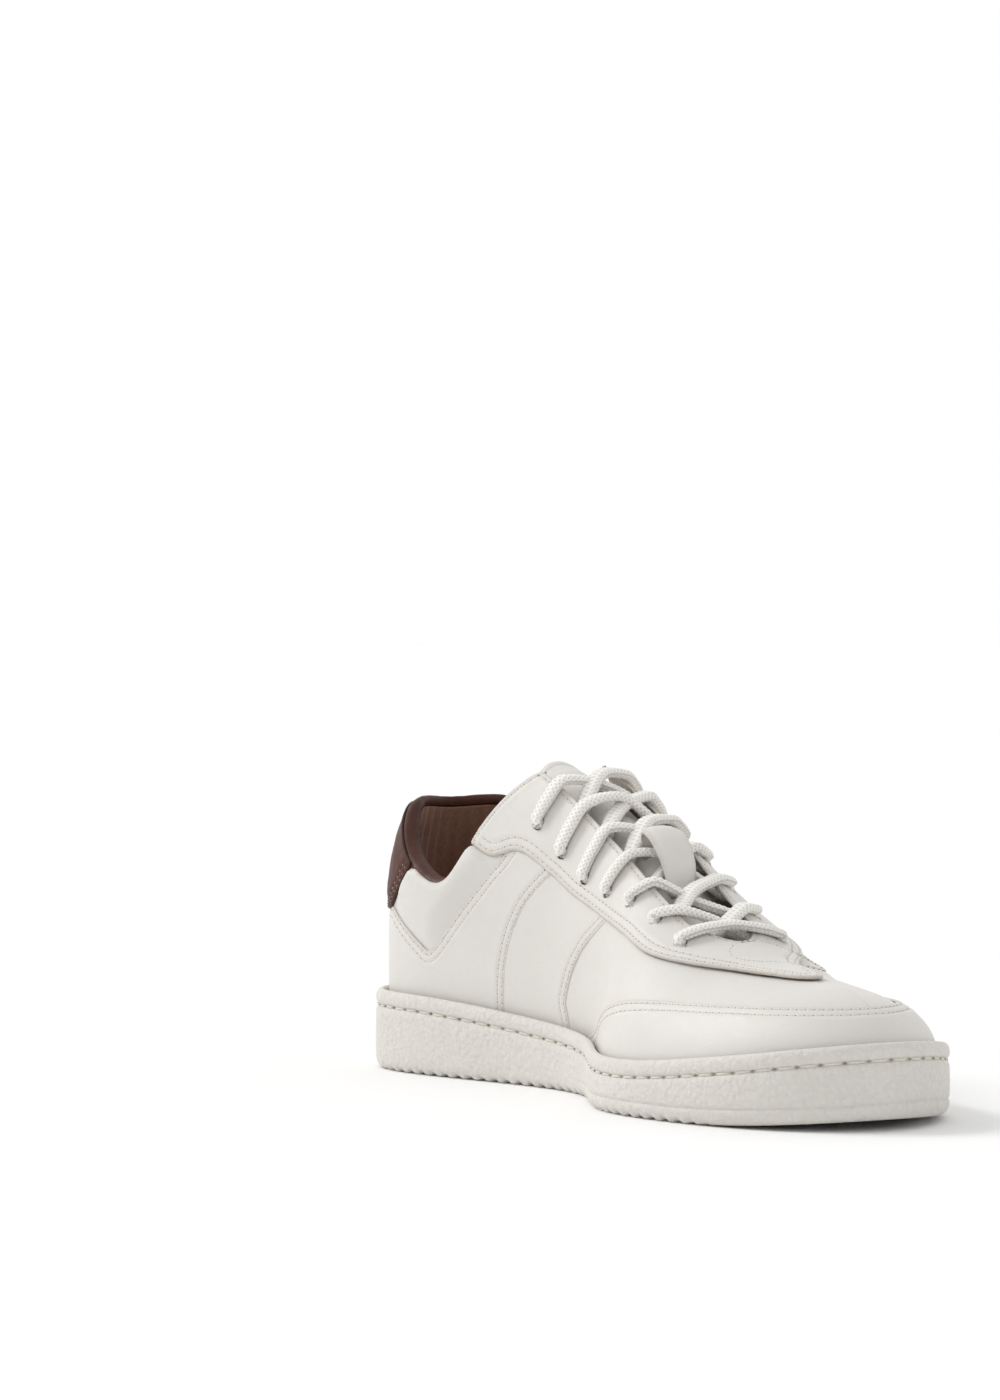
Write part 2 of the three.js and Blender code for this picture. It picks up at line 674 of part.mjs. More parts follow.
function eyeletTools() {
  const tools = [];
  for (let k = 0; k < EYELET_COUNT; k += 1) {
    for (const side of [-1, 1]) {
      const x = eyeletStation(k);
      const low = spot(x, side * EYELET_SPREAD, 4);
      const high = spot(x, side * EYELET_SPREAD, -4);
      const tool = new THREE.CylinderGeometry(EYELET_RADIUS, EYELET_RADIUS, 9, 8);
      const axis = high.clone().sub(low).normalize();
      tool.applyQuaternion(new THREE.Quaternion().setFromUnitVectors(new THREE.Vector3(0, 1, 0), axis));
      const centre = low.add(high).multiplyScalar(0.5);
      tools.push(tool.translate(centre.x, centre.y, centre.z));
    }
  }
  return tools;
}

for (const [name, side] of [['medial', -1], ['lateral', 1]]) {
  add(`${name}_quarter`, fromSolid(quarter(side)), whiteLeather);
  add(`${name}_side_stripe`, fromSolid(bodyShell.intersect(stripeBlock(side, 0))), whiteLeather);
  const collarPanel = block(panel({
    ...sidePanel(along(0.15), along(0.247), side),
    low: (turn) => collarEdge(station(turn)),
    high: (turn) => topline(station(turn)),
    rows: 4,
    columns: 8,
  }), OVERLAY);
  add(`${name}_collar_panel`, fromSolid(overlayShell.intersect(collarPanel)), whiteLeather);
}

const bands = stripeBlock(-1, GAP).add(stripeBlock(1, GAP));
add('vamp', fromSolid(bodyShell.intersect(forepart(vampStart, BODY)).subtract(bands)), whiteLeather);

const toeCap = block(panel({
  ...roundToe(along(0.5)), low: belowSeat, high: (turn) => overlayEdge(station(turn)), rows: 4, columns: 36,
}), OVERLAY);
add('toe_overlay', fromSolid(overlayShell.intersect(toeCap)), whiteLeather);

const eyelets = eyeletTools().map(toSolid).reduce((all, next) => all.add(next));
add('eyestay', fromSolid(overlayShell.intersect(yoke(OVERLAY, 32, 5)).subtract(eyelets)), whiteLeather);

const tab = block(panel({
  ...roundHeel(along(0.147)),
  low: (turn) => tabEdge(station(turn)),
  high: (turn) => topline(station(turn)),
  rows: 4,
  columns: 20,
}), OVERLAY);
add('heel_tab', fromSolid(overlayShell.intersect(tab)), brownLeather);

// ---- inside of the upper ------------------------------------------------------------------------
const padShare = (turn, z) => {
  const x = station(turn);
  const fade = clamp((along(0.273) - x) / along(0.04), 0, 1);
  return fade * clamp((z - 54) / 10, 0, 1);
};
const padDepth = (place) => {
  const z = upperPoint(place.turn, place.angle, 0).z;
  return mix(LINED[0], INNER + COLLAR_PAD + GAP, padShare(place.turn, z));
};
const rimFoot = (turn) => topline(station(turn)) - 3 * RIM_RADIUS;
const PADDED = (place) => [padDepth(place), padDepth(place) + LINING];
const FILLED = (place) => [INNER, padDepth(place) - GAP];

function stiffener(ends, top, columns) {
  const whole = block(panel({ ...ends, low: belowSeat, high: () => top, rows: 5, columns }), STIFF);
  return fromSolid(shell(STIFF).intersect(whole));
}

add('heel_counter', stiffener(roundHeel(along(0.25)), 53, 20), board);
add('toe_puff', stiffener(roundToe(along(0.79)), 38, 20), board);

const pad = block(panel({
  ...roundHeel(along(0.23)), low: () => 57, high: rimFoot, rows: 4, columns: 24,
}), FILLED);
add('collar_foam', fromSolid(shell(FILLED).intersect(pad)), foam);

const backLining = block(panel({
  ...roundHeel(along(0.37)),
  low: belowSeat,
  high: (turn) => Math.min(bodyTop(turn), topline(station(turn))) - 0.5,
  rows: 6,
  columns: 28,
}), PADDED);
add('quarter_lining', fromSolid(shell(PADDED).intersect(backLining)), brownLining);

const liningStart = (round) => Math.max(vampStart(round), along(0.38));
add('vamp_lining', fromSolid(shell(LINED).intersect(forepart(liningStart, LINED))), creamTextile);

// ---- tubes --------------------------------------------------------------------------------------
// a curve that passes straight from point to point, with one step for each
class Route extends THREE.Curve {
  constructor(points) {
    super();
    this.points = points;
  }

  getPoint(u, target = new THREE.Vector3()) {
    const place = u * (this.points.length - 1);
    const k = Math.min(Math.floor(place), this.points.length - 2);
    return target.copy(this.points[k]).lerp(this.points[k + 1], place - k);
  }

  getPointAt(u, target) {
    return this.getPoint(u, target);
  }

  getTangentAt(u, target = new THREE.Vector3()) {
    const step = 0.5 / (this.points.length - 1);
    const ahead = this.getPoint(Math.min(u + step, 1));
    return target.copy(ahead).sub(this.getPoint(Math.max(u - step, 0))).normalize();
  }
}

function tube(points, radius) {
  const section = new THREE.Shape(range(8).slice(0, 8).map((u) => (
    new THREE.Vector2(radius * Math.cos(2 * Math.PI * u), radius * Math.sin(2 * Math.PI * u)))));
  const route = new Route(points);
  const options = { steps: points.length - 1, extrudePath: route, bevelEnabled: false };
  return new THREE.ExtrudeGeometry(section, options);
}

const rimEnds = roundHeel(along(0.225));
add('collar_rim', tube(range(34).map((u) => {
  const turn = mix(rimEnds.from(), rimEnds.to(), u);
  const z = topline(station(turn)) - 0.5;
  return upperPoint(turn, angleAt(turn, z), INNER + COLLAR_PAD / 2 + GAP / 2);
}), RIM_RADIUS), brownLeather);

// ---- tongue -------------------------------------------------------------------------------------
const TONGUE_TOP = along(0.293);
const TONGUE_FRONT = along(0.72);
const tongueHalf = alongCurve([[0.293, 15], [0.33, 22], [0.5, 22], [0.72, 17]]);
const tongueDepth = alongCurve([[0.293, TONGUE_DEPTH], [0.6, TONGUE_DEPTH], [0.68, 5.7], [0.72, 5.7]]);

function tongueLayer(start, thickness) {
  const grid = range(14).map((u) => range(8).map((v) => {
    const x = mix(TONGUE_TOP, TONGUE_FRONT, u);
    return placeAt(x, roundAcross(x, mix(-1, 1, v) * tongueHalf(x)));
  }));
  return sheet(grid, (place) => [tongueDepth(place.x) + start, tongueDepth(place.x) + start + thickness]);
}

const tongueInside = LEATHER + GAP + TONGUE_FOAM + GAP;
add('tongue_outer', tongueLayer(0, LEATHER), whiteLeather);
add('tongue_foam', tongueLayer(LEATHER + GAP, TONGUE_FOAM), foam);
add('tongue_lining', tongueLayer(tongueInside, LINING), brownLining);

const LOOP_FOOT = 3;
const loopMiddle = (eyeletStation(3) + eyeletStation(4)) / 2;
const LOOP_START = loopMiddle - LOOP_LENGTH / 2 - LOOP_FOOT;
const loopEnd = LOOP_START + LOOP_LENGTH + 2 * LOOP_FOOT;

function tongueLoop() {
  const stops = [0, 0.5, 1];
  const feet = stops.map((u) => LOOP_START + u * LOOP_FOOT);
  const arch = range(8).slice(1).map((u) => LOOP_START + LOOP_FOOT + u * LOOP_LENGTH);
  const stations = [...feet, ...arch, loopEnd - LOOP_FOOT / 2, loopEnd];
  const rise = (x) => {
    const u = clamp((x - LOOP_START - LOOP_FOOT) / LOOP_LENGTH, 0, 1);
    return LOOP_RISE * Math.sin(Math.PI * u) ** 0.25;
  };
  const offsets = range(4).map((v) => mix(-0.5, 0.5, v) * LOOP_WIDTH);
  const grid = stations.map((x) => offsets.map((y) => placeAt(x, roundAcross(x, y))));
  const foot = (x) => tongueDepth(x) - GAP - rise(x);
  return sheet(grid, (place) => [foot(place.x) - LOOP_THICKNESS, foot(place.x)]);
}

add('tongue_loop', tongueLoop(), whiteLeather);

// ---- lace ---------------------------------------------------------------------------------------
// depths at which the lace passes over the leather, through an eyelet, under the edge of the throat,
// and past its partner in the middle
const LACE_OVER = -(LACE_RADIUS + 3 * GAP);
const LACE_INSIDE = 4;
const CROSS_OVER = 1.4;
const CROSS_UNDER = CROSS_OVER + 2 * LACE_RADIUS + 2.5 * GAP;
const UPPER_TURN = EYELET_SPREAD - 3.5;

const overReach = THROAT_HALF - 0.8;
const insideReach = THROAT_HALF - 1.5;

// one crossing: from under an eyelet, under its edge of the throat, over the far edge and down the
// next eyelet
function crossing(row, side, middle) {
  const here = eyeletStation(row);
  const there = eyeletStation(row - 1);
  return [
    spot(here, side * (EYELET_SPREAD - 0.6), LACE_INSIDE),
    spot(mix(here, there, 0.15), side * insideReach, LACE_INSIDE),
    spot((here + there) / 2, 0, middle),
    spot(mix(here, there, 0.8), -side * overReach, LACE_OVER + 0.2),
    spot(mix(here, there, 0.9), -side * UPPER_TURN, LACE_OVER),
    spot(there, -side * EYELET_SPREAD, LACE_OVER + 0.2),
    spot(there, -side * EYELET_SPREAD, 0.6),
  ];
}

const LAST_ROW = EYELET_COUNT - 1;

// one half of the lace, from the middle of the lowest bar to its tucked end
function laceHalf(side) {
  const bottom = eyeletStation(LAST_ROW);
  const points = [
    spot(bottom, side * overReach, LACE_OVER),
    spot(bottom, side * UPPER_TURN, LACE_OVER),
    spot(bottom, side * EYELET_SPREAD, LACE_OVER + 0.2),
    spot(bottom, side * EYELET_SPREAD, 0.6),
  ];
  let from = side;
  for (let row = LAST_ROW; row > 0; row -= 1) {
    const above = (row % 2 === 0) === (from > 0);
    points.push(...crossing(row, from, above ? CROSS_OVER : CROSS_UNDER));
    from = -from;
  }
  const top = eyeletStation(0);
  const low = (x, height) => boardTop(x) + FOAM_THICKNESS + COVER_THICKNESS + 3 * GAP + height;
  const inside = (x, z, depth) => {
    const turn = turnAt(x, from);
    return upperPoint(turn, angleAt(turn, z), depth);
  };
  points.push(
    spot(top - 1, from * (EYELET_SPREAD - 0.4), LACE_INSIDE),
    spot(top - 12, from * (EYELET_SPREAD + 2), 5),
    inside(along(0.27), 88, 8),
    inside(along(0.27), 78, 8),
    inside(along(0.28), 60, 8),
    inside(along(0.3), 42, 7.8),
    inside(along(0.34), low(along(0.34), 5), 9),
    ...[0.39, 0.46, 0.53, 0.6].map((f) => inside(along(f), low(along(f), LACE_RADIUS + 5 * GAP), 11)),
  );
  return points;
}

const outerHalf = laceHalf(1);
const innerHalf = laceHalf(-1);
const lowestBar = spot(eyeletStation(LAST_ROW), 0, LACE_OVER);
const laceRoute = [...innerHalf.slice().reverse(), lowestBar, ...outerHalf];
add('lace', tube(laceRoute, LACE_RADIUS), creamTextile);

function aglet(half) {
  const end = half.at(-1);
  const heading = end.clone().sub(half.at(-2)).setZ(0).normalize();
  const shape = new THREE.CylinderGeometry(AGLET_RADIUS, AGLET_RADIUS, AGLET_LENGTH, 10);
  shape.applyQuaternion(new THREE.Quaternion().setFromUnitVectors(new THREE.Vector3(0, 1, 0), heading));
  const centre = end.clone().addScaledVector(heading, GAP + AGLET_LENGTH / 2);
  return shape.translate(centre.x, centre.y, centre.z);
}

const clearPlastic = finish(0xe6e2d8, 0.3);
add('lateral_aglet', aglet(outerHalf), clearPlastic);
add('medial_aglet', aglet(innerHalf), clearPlastic);

// the origin sits on the ground under the middle of the shoe
const size = new THREE.Box3().setFromObject(model);
model.position.set(-(size.min.x + size.max.x) / 2, -(size.min.y + size.max.y) / 2, -size.min.z);

export default model;
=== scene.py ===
"""Looks of a low leather court shoe for the left foot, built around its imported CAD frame.

Lengths are in millimetres in the shoe's own axes, x from the heel, y to the outer side, z up,
until put() moves them to the frame in metres.
"""
import math

import bpy
import numpy as np
from mathutils import Matrix, Vector


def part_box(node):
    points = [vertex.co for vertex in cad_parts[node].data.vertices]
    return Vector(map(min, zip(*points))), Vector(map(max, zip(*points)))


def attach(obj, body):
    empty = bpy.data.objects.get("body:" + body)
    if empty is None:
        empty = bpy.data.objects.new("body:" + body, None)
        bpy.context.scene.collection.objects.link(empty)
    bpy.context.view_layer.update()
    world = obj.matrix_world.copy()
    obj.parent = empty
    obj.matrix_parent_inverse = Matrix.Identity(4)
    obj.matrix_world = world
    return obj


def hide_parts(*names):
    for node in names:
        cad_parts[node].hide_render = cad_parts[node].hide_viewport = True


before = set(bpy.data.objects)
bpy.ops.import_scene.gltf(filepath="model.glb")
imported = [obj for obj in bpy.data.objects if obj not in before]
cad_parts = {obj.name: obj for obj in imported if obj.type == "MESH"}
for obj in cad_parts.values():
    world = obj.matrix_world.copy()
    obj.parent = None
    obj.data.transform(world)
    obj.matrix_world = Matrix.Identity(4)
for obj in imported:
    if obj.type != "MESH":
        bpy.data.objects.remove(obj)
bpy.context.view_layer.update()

# ---- driving dimensions ----------------------------------------------------------------------------
LENGTH, WIDTH = 300.0, 112.6
GAP = 0.3
LIP = 3.2
CUP_FLOOR = 7.5
RIM = 14.0
GROOVE_DROP = 5.5
RECESS = 3.2
TOE_SPRING = 4.0
EYELETS = 7
EYELET_RADIUS = 2.1
EYELET_SPREAD = 20.0
THROAT_HALF = 12.5
PIVOT = (0.716 * LENGTH, -0.213 * WIDTH)
HEEL_DISC = (0.384 * LENGTH, 0.08 * WIDTH)
STITCH_PITCH = 2.9
SOLE_STITCH_PITCH = 7.5
STUD_ACROSS, STUD_ALONG = 5.65, 4.95


# ---- small maths -----------------------------------------------------------------------------------
def through(points, scale=LENGTH):
    """A smooth curve through (place, value) points, flat beyond its ends."""
    xs = np.array([p[0] for p in points], float) * scale
    ys = np.array([p[1] for p in points], float)
    before = np.maximum(np.arange(len(xs)) - 1, 0)
    after = np.minimum(np.arange(len(xs)) + 1, len(xs) - 1)
    slope = (ys[after] - ys[before]) / (xs[after] - xs[before])

    def curve(place):
        x = np.clip(place, xs[0], xs[-1])
        k = np.clip(np.searchsorted(xs, x, side="right") - 1, 0, len(xs) - 2)
        step = xs[k + 1] - xs[k]
        u = (x - xs[k]) / step
        rise = (2 * u**3 - 3 * u**2 + 1) * ys[k] + (3 * u**2 - 2 * u**3) * ys[k + 1]
        return rise + step * ((u**3 - 2 * u**2 + u) * slope[k] + (u**3 - u**2) * slope[k + 1])

    return curve


def mix(a, b, u):
    return a + (b - a) * u


def ease(x, low, high):
    """0 below low, 1 above high, smooth between."""
    u = np.clip((x - low) / (high - low), 0, 1)
    return u * u * (3 - 2 * u)


def unit(v):
    return v / np.maximum(np.linalg.norm(v, axis=-1, keepdims=True), 1e-12)


def noise(p, size, seed=0):
    """Smooth value noise between -1 and 1, with features of one size, the same on every run."""
    q = np.asarray(p) / size + seed * 17.3
    cell = np.floor(q).astype(np.int64)
    f = q - cell
    f = f * f * (3 - 2 * f)
    total = np.zeros(q.shape[:-1])
    for corner in range(8):
        bit = np.array([corner & 1, corner >> 1 & 1, corner >> 2 & 1])
        weight = np.prod(np.where(bit, f, 1 - f), axis=-1)
        i = cell + bit
        code = (i[..., 0] * 73856093) ^ (i[..., 1] * 19349663) ^ (i[..., 2] * 83492791)
        code = (code ^ (code >> 13)) * 1274126177 & 0x7FFFFFFF
        total += weight * ((code % 65536) / 32767.5 - 1)
    return total


def spacing(length, fine=0.45, reach=5.6, coarse=2.2, start=True, end=True):
    """Places from 0 to 1 along a length, close together near the ends that show an edge."""
    near = np.arange(0, min(reach, length * 0.45), fine)
    low = near if start else near[:1]
    high = length - (near if end else near[:1])[::-1]
    count = max(int((high[0] - low[-1]) / coarse), 1)
    middle = np.linspace(low[-1], high[0], count + 1)
    return np.unique(np.concatenate([low, middle, high]).round(5)) / length


# ---- outline and heights of the sole ---------------------------------------------------------------
OUTLINE = np.array([
    (-0.036, -0.004), (0.068, 0.384), (0.221, 0.379), (0.364, 0.421), (0.507, 0.445), (0.653, 0.544),
    (0.795, 0.419), (0.928, 0.305), (1.039, -0.079), (0.932, -0.415), (0.785, -0.494), (0.641, -0.505),
    (0.514, -0.234), (0.369, -0.234), (0.231, -0.321), (0.074, -0.371),
]) * (LENGTH, WIDTH)


def outline_at(turn):
    place = np.mod(turn, 1) * len(OUTLINE)
    k = np.floor(place).astype(int)
    u = place - k
    weights = ((1 - u) ** 3, 3 * u**3 - 6 * u**2 + 4, -3 * u**3 + 3 * u**2 + 3 * u + 1, u**3)
    return sum(w[..., None] * OUTLINE[(k + i - 1) % len(OUTLINE)] for i, w in enumerate(weights)) / 6


def inset(turn, depth):
    """A point of the outline moved inwards."""
    turn = np.asarray(turn, float)
    t = unit(outline_at(turn + 1e-4) - outline_at(turn - 1e-4))
    return outline_at(turn) + np.stack([t[..., 1], -t[..., 0]], -1) * np.asarray(depth)[..., None]


TURNS = np.linspace(-0.1, 1.1, 48001)
STATIONS = inset(TURNS, LIP)[:, 0]
OUTER_HALF = np.flatnonzero((TURNS > -0.1) & (TURNS < 0.6))
HEEL = OUTER_HALF[np.argmin(np.where(TURNS[OUTER_HALF] < 0.1, STATIONS[OUTER_HALF], 1e9))]
TOE = OUTER_HALF[np.argmax(np.where(TURNS[OUTER_HALF] > 0.4, STATIONS[OUTER_HALF], -1e9))]
HEEL_AGAIN = HEEL + 40000
HEEL_TURN, TOE_TURN = TURNS[HEEL], TURNS[TOE]


def station(turn):
    return np.interp(np.mod(turn - HEEL_TURN, 1) + HEEL_TURN, TURNS, STATIONS)


def turn_at(x, side):
    """Where the base of the upper reaches a station, on the outer side (1) or the inner side (-1)."""
    outer = np.interp(x, STATIONS[HEEL:TOE + 1], TURNS[HEEL:TOE + 1])
    inner = np.interp(x, STATIONS[TOE:HEEL_AGAIN + 1][::-1], TURNS[TOE:HEEL_AGAIN + 1][::-1])
    return np.where(np.asarray(side) > 0, outer, inner)


lip_height = through([(0, 28), (0.2, 27.5), (0.43, 22), (0.57, 19), (0.72, 18.3), (0.87, 22.45), (1, 28)])


def underside(x):
    return np.where(x > 0.783 * LENGTH, TOE_SPRING * ((x / LENGTH - 0.783) / 0.217) ** 2, 0)


def board_top(x):
    return underside(x) + mix(17.5, 10, np.clip((x / LENGTH - 0.3) / 0.3, 0, 1)) + 1.5


# ---- surface of the upper --------------------------------------------------------------------------
ridge_height = through([(0.07, 128), (0.2, 121), (0.333, 112), (0.467, 93), (0.6, 68), (0.733, 50.5),
                        (0.817, 47), (0.873, 45)])
ridge_side = through([(0.067, 0), (0.2, 1), (0.4, 4), (0.6, -1), (0.767, -6), (0.873, -6)])
fullness = through([(0.067, 3.2), (0.2, 3), (0.4, 2), (0.6, 2), (0.767, 1.9), (0.873, 1.9)])
inner_round = through([(0.067, 2), (0.2, 2.1), (0.6, 2.1), (0.767, 2.2), (0.873, 2.2)])
outer_round = through([(0.067, 2), (0.2, 2.1), (0.4, 1.7), (0.6, 1.65), (0.767, 1.7), (0.873, 1.7)])


def ridge_station(x):
    first, last, blend = 0.08 * LENGTH, 0.86 * LENGTH, 9.0
    return first + blend * (np.logaddexp(0, (x - first) / blend) - np.logaddexp(0, (x - last) / blend))


def section(turn):
    """Ridge x, ridge y, ridge height, base height and the two roundness powers at a turn."""
    foot = inset(turn, LIP)
    x = ridge_station(foot[..., 0])
    y = ridge_side(x)
    outer = 1 / (1 + np.exp(-(foot[..., 1] - y) / 6))
    power = mix(inner_round(x), outer_round(x), outer)
    return x, y, ridge_height(x), lip_height(foot[..., 0]) - 2, fullness(x), power


def upper(turn, angle, depth=0.0):
    """A point of the upper: angle 0 at the lip, a quarter turn on the ridge, depth below the surface."""
    turn, angle, depth = np.broadcast_arrays(np.asarray(turn, float), angle, depth)
    x, y, top, base, height, power = section(turn)
    foot = inset(turn, LIP + GAP + depth)
    lift = np.clip(angle, 0, math.pi / 2)
    out = np.clip(np.cos(lift), 0, 1) ** (2 / power)
    z = base + (top - depth - base) * np.sin(lift) ** (2 / height) + np.minimum(angle, 0)
    px = mix(x, foot[..., 0], out)
    lean = np.clip((z - 25) / 63, 0, 1.3)
    fade = np.clip(1 - px / (0.15 * LENGTH), 0, 1)
    px = px + (9 * lean**3 - 1.5 * np.sin(math.pi * np.clip(lean, 0, 1))) * fade
    return np.stack([px, mix(y, foot[..., 1], out), z], -1)


def angle_at(turn, z):
    _, _, top, base, height, _ = section(turn)
    lifted = np.arcsin(np.clip((z - base) / (top - base), 0, 1) ** (height / 2))
    return np.where(z <= base, z - base, lifted)


def across(x, distance):
    """(turn, angle) at a station and a distance across from the ridge, negative on the inner side."""
    x, distance = np.broadcast_arrays(np.asarray(x, float), distance)
    turn = turn_at(x, np.where(distance < 0, -1, 1))
    s = section(turn)
    reach = np.abs(inset(turn, LIP + GAP)[..., 1] - s[1])
    return turn, np.arccos(np.clip(np.abs(distance) / reach, 0, 1) ** (s[5] / 2))


def place_round(x, around):
    """(turn, angle) at a station and a position round the upper, -1 inner lip, 0 ridge, 1 outer lip."""
    return turn_at(x, np.where(around < 0, -1, 1)), (1 - np.abs(around)) * math.pi / 2


def round_at(x, z, side):
    return side * (1 - angle_at(turn_at(x, side), z) / (math.pi / 2))


# ---- edges of the panels, as heights over stations ---------------------------------------------------
topline = through([(0, 94), (0.04, 95), (0.067, 93), (0.093, 87.5), (0.127, 78.5), (0.15, 73.5), (0.193, 68),
                   (0.22, 70), (0.25, 82), (0.287, 92.5), (0.317, 98), (0.34, 99)])
eyestay_edge = through([(0.25, 82), (0.285, 78), (0.325, 80), (0.38, 73), (0.43, 66), (0.507, 59.5),
                        (0.58, 55.5), (0.647, 51), (0.713, 48.5), (0.767, 47.2), (0.82, 46.5)])
rear_seam = through([(20, 0.323), (40, 0.323), (58, 0.34), (73, 0.38), (84, 0.43)], 1)
vamp_edge = through([(14, 0.45), (24, 0.44), (31, 0.433), (47, 0.457), (59, 0.507), (68, 0.56)], 1)
overlay_edge = through([(0.5, 20), (0.53, 23), (0.567, 29), (0.623, 34), (0.68, 37), (0.8, 38), (1, 39)])
tab_edge = through([(0, 56), (0.093, 57.5), (0.12, 64), (0.147, 73)])


# ---- meshes ----------------------------------------------------------------------------------------
def shift_to_frame():
    low, high = (np.array(corner) * 1000 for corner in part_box("cupsole"))
    rim = outline_at(np.linspace(0, 1, 4001))
    x, y = ((low + high) / 2)[:2] - (rim.min(0) + rim.max(0)) / 2
    return np.array([x, y, 0.0])


SHIFT = shift_to_frame()


def put(name, points, faces, material, slot, nodes=(), body="shoe", edge_shade=None, uvs=None):
    """A closed mesh from points in millimetres, as a piece that rides on a body."""
    mesh = bpy.data.meshes.new(name)
    metres = (np.asarray(points) + SHIFT) / 1000
    mesh.from_pydata(metres.tolist(), [], [[int(k) for k in face] for face in faces])
    # Painted shade: a point attribute that the leather materials read to darken the colour.
    if edge_shade is not None:
        layer = mesh.attributes.new("edge_shade", "FLOAT", "POINT")
        layer.data.foreach_set("value", np.ravel(edge_shade).astype(np.float32))
    if uvs is not None:
        layer = mesh.uv_layers.new(name="weave")
        corners = np.empty(len(mesh.loops), dtype=np.int32)
        mesh.loops.foreach_get("vertex_index", corners)
        layer.data.foreach_set("uv", np.asarray(uvs)[corners].ravel().astype(np.float32))
    mesh.polygons.foreach_set("use_smooth", [True] * len(mesh.polygons))
    mesh.materials.append(material)
    mesh.validate()
    piece = bpy.data.objects.new(name, mesh)
    bpy.context.scene.collection.objects.link(piece)
    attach(piece, body)
    if nodes:
        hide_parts(*nodes)
    return piece


def sheet_faces(keep):
    """Faces of a closed sheet over a grid of cells, with walls round its border and its holes."""
    n, m = keep.shape[0] + 1, keep.shape[1] + 1
    idx = np.arange(n * m).reshape(n, m)
    under = n * m
    a, b, c, d = idx[:-1, :-1][keep], idx[1:, :-1][keep], idx[1:, 1:][keep], idx[:-1, 1:][keep]
    parts = [np.stack([a, b, c, d], -1), np.stack([d, c, b, a], -1) + under]
    padded = np.pad(keep, 1)
    rows = padded[1:, 1:-1].astype(int) - padded[:-1, 1:-1]
    for sign in (1, -1):
        i, j = np.nonzero(rows == sign)
        p, q = (idx[i, j], idx[i, j + 1])[::sign]
        parts.append(np.stack([p, q, q + under, p + under], -1))
    columns = padded[1:-1, 1:].astype(int) - padded[1:-1, :-1]
    for sign in (1, -1):
        i, j = np.nonzero(columns == sign)
        p, q = (idx[i + 1, j], idx[i, j])[::sign]
        parts.append(np.stack([p, q, q + under, p + under], -1))
    return np.concatenate(parts)


def sheet(outer, inner, keep=None):
    """Points and faces of the closed body between two grids of points. Outer faces look outwards."""
    cells = np.ones((outer.shape[0] - 1, outer.shape[1] - 1), bool) if keep is None else keep
    faces = sheet_faces(cells)
    points = np.concatenate([outer.reshape(-1, 3), inner.reshape(-1, 3)])
    used = np.zeros(len(points), bool)
    used[faces.ravel()] = True
    order = np.cumsum(used) - 1
    faces = order[faces]
    middle = (outer.shape[0] // 2, outer.shape[1] // 2)
    du = outer[middle[0] + 1, middle[1]] - outer[middle]
    dv = outer[middle[0], middle[1] + 1] - outer[middle]
    if np.dot(np.cross(du, dv), outer[middle] - inner[middle]) < 0:
        faces = faces[:, ::-1]
    return points[used], faces, used


def rings_mesh(rings):
    """The side faces between closed loops of points, from the first loop to the last; both end loops are left
    open.
    """
    rings = np.asarray(rings)
    count = rings.shape[1]
    i = np.arange(count)
    faces = []
    for r in range(len(rings) - 1):
        a, b = r * count + i, r * count + (i + 1) % count
        faces += np.stack([a, b, b + count, a + count], -1).tolist()
    return rings.reshape(-1, 3), faces, count


def cap(start, count, turned=False):
    """Faces that close a loop of points with a strip, the last one a triangle where the count is odd."""
    faces = []
    for k in range((count - 1) // 2):
        corners = dict.fromkeys([start + k, start + k + 1, start + count - 2 - k, start + count - 1 - k])
        faces.append(list(corners)[::-1] if turned else list(corners))
    return faces


def merge(parts):
    """One body from several (points, faces) pairs."""
    points, faces, start = [], [], 0
    for p, f in parts:
        points.append(np.asarray(p))
        faces += [[k + start for k in face] for face in f]
        start += len(p)
    return np.concatenate(points), faces


def level_grid(x, y, height):
    """Points of a grid with one row for each station x."""
    return np.stack([np.broadcast_to(x[:, None], y.shape), y, np.broadcast_to(height, y.shape)], -1)


def run_along(line):
    """Distance along a line from its start to each of its points."""
    return np.concatenate([[0], np.cumsum(np.linalg.norm(np.diff(line, axis=0), axis=1))])


def rounded_steps(count):
    """Places from 0 to 1, closer together at both ends."""
    return (1 - np.cos(math.pi * np.linspace(0, 1, count))) / 2


def grid_normals(p):
    du, dv = np.gradient(p, axis=0), np.gradient(p, axis=1)
    return unit(np.cross(du, dv))


def distance_to(points, line):
    """Distance from each point of a grid to a line of points."""
    flat = points.reshape(-1, 3)
    out = np.empty(len(flat))
    for start in range(0, len(flat), 4000):
        block = flat[start:start + 4000]
        square = (block**2).sum(1)[:, None] + (line**2).sum(1)[None] - 2 * block @ line.T
        out[start:start + 4000] = np.sqrt(np.maximum(square.min(1), 0))
    return out.reshape(points.shape[:-1])


# ---- leather panels --------------------------------------------------------------------------------
THREADS = {"shoe": [], "tongue": [], "heel": []}
ROUNDING = 0.55


def edge_profile(distance, rows, rounding=ROUNDING, dip=0.2):
    """How much deeper the leather lies at a distance from its cut edge and its rows of stitches."""
    near = np.clip(1 - distance / rounding, 0, 1)
    depth = rounding * (1 - np.sqrt(1 - near**2)) + 0.15 * np.exp(-distance / 1.2)
    for row in rows:
        depth = depth + dip * np.exp(-(((distance - row) / 0.5) ** 2))
    if rows:
        depth = depth - 0.12 * np.exp(-(((distance - rows[-1] - 1.6) / 1.1) ** 2))
    return depth


def crossing_line(points, distance, value):
    """The line over a grid where a distance grows through a value, one point for each column."""
    line = []
    for column, away in zip(points, distance):
        hits = np.flatnonzero((away[:-1] - value) * (away[1:] - value) <= 0)
        if len(hits):
            k = hits[0]
            u = (value - away[k]) / (away[k + 1] - away[k] + 1e-12)
            line.append(mix(column[k], column[k + 1], u))
    return np.array(line)


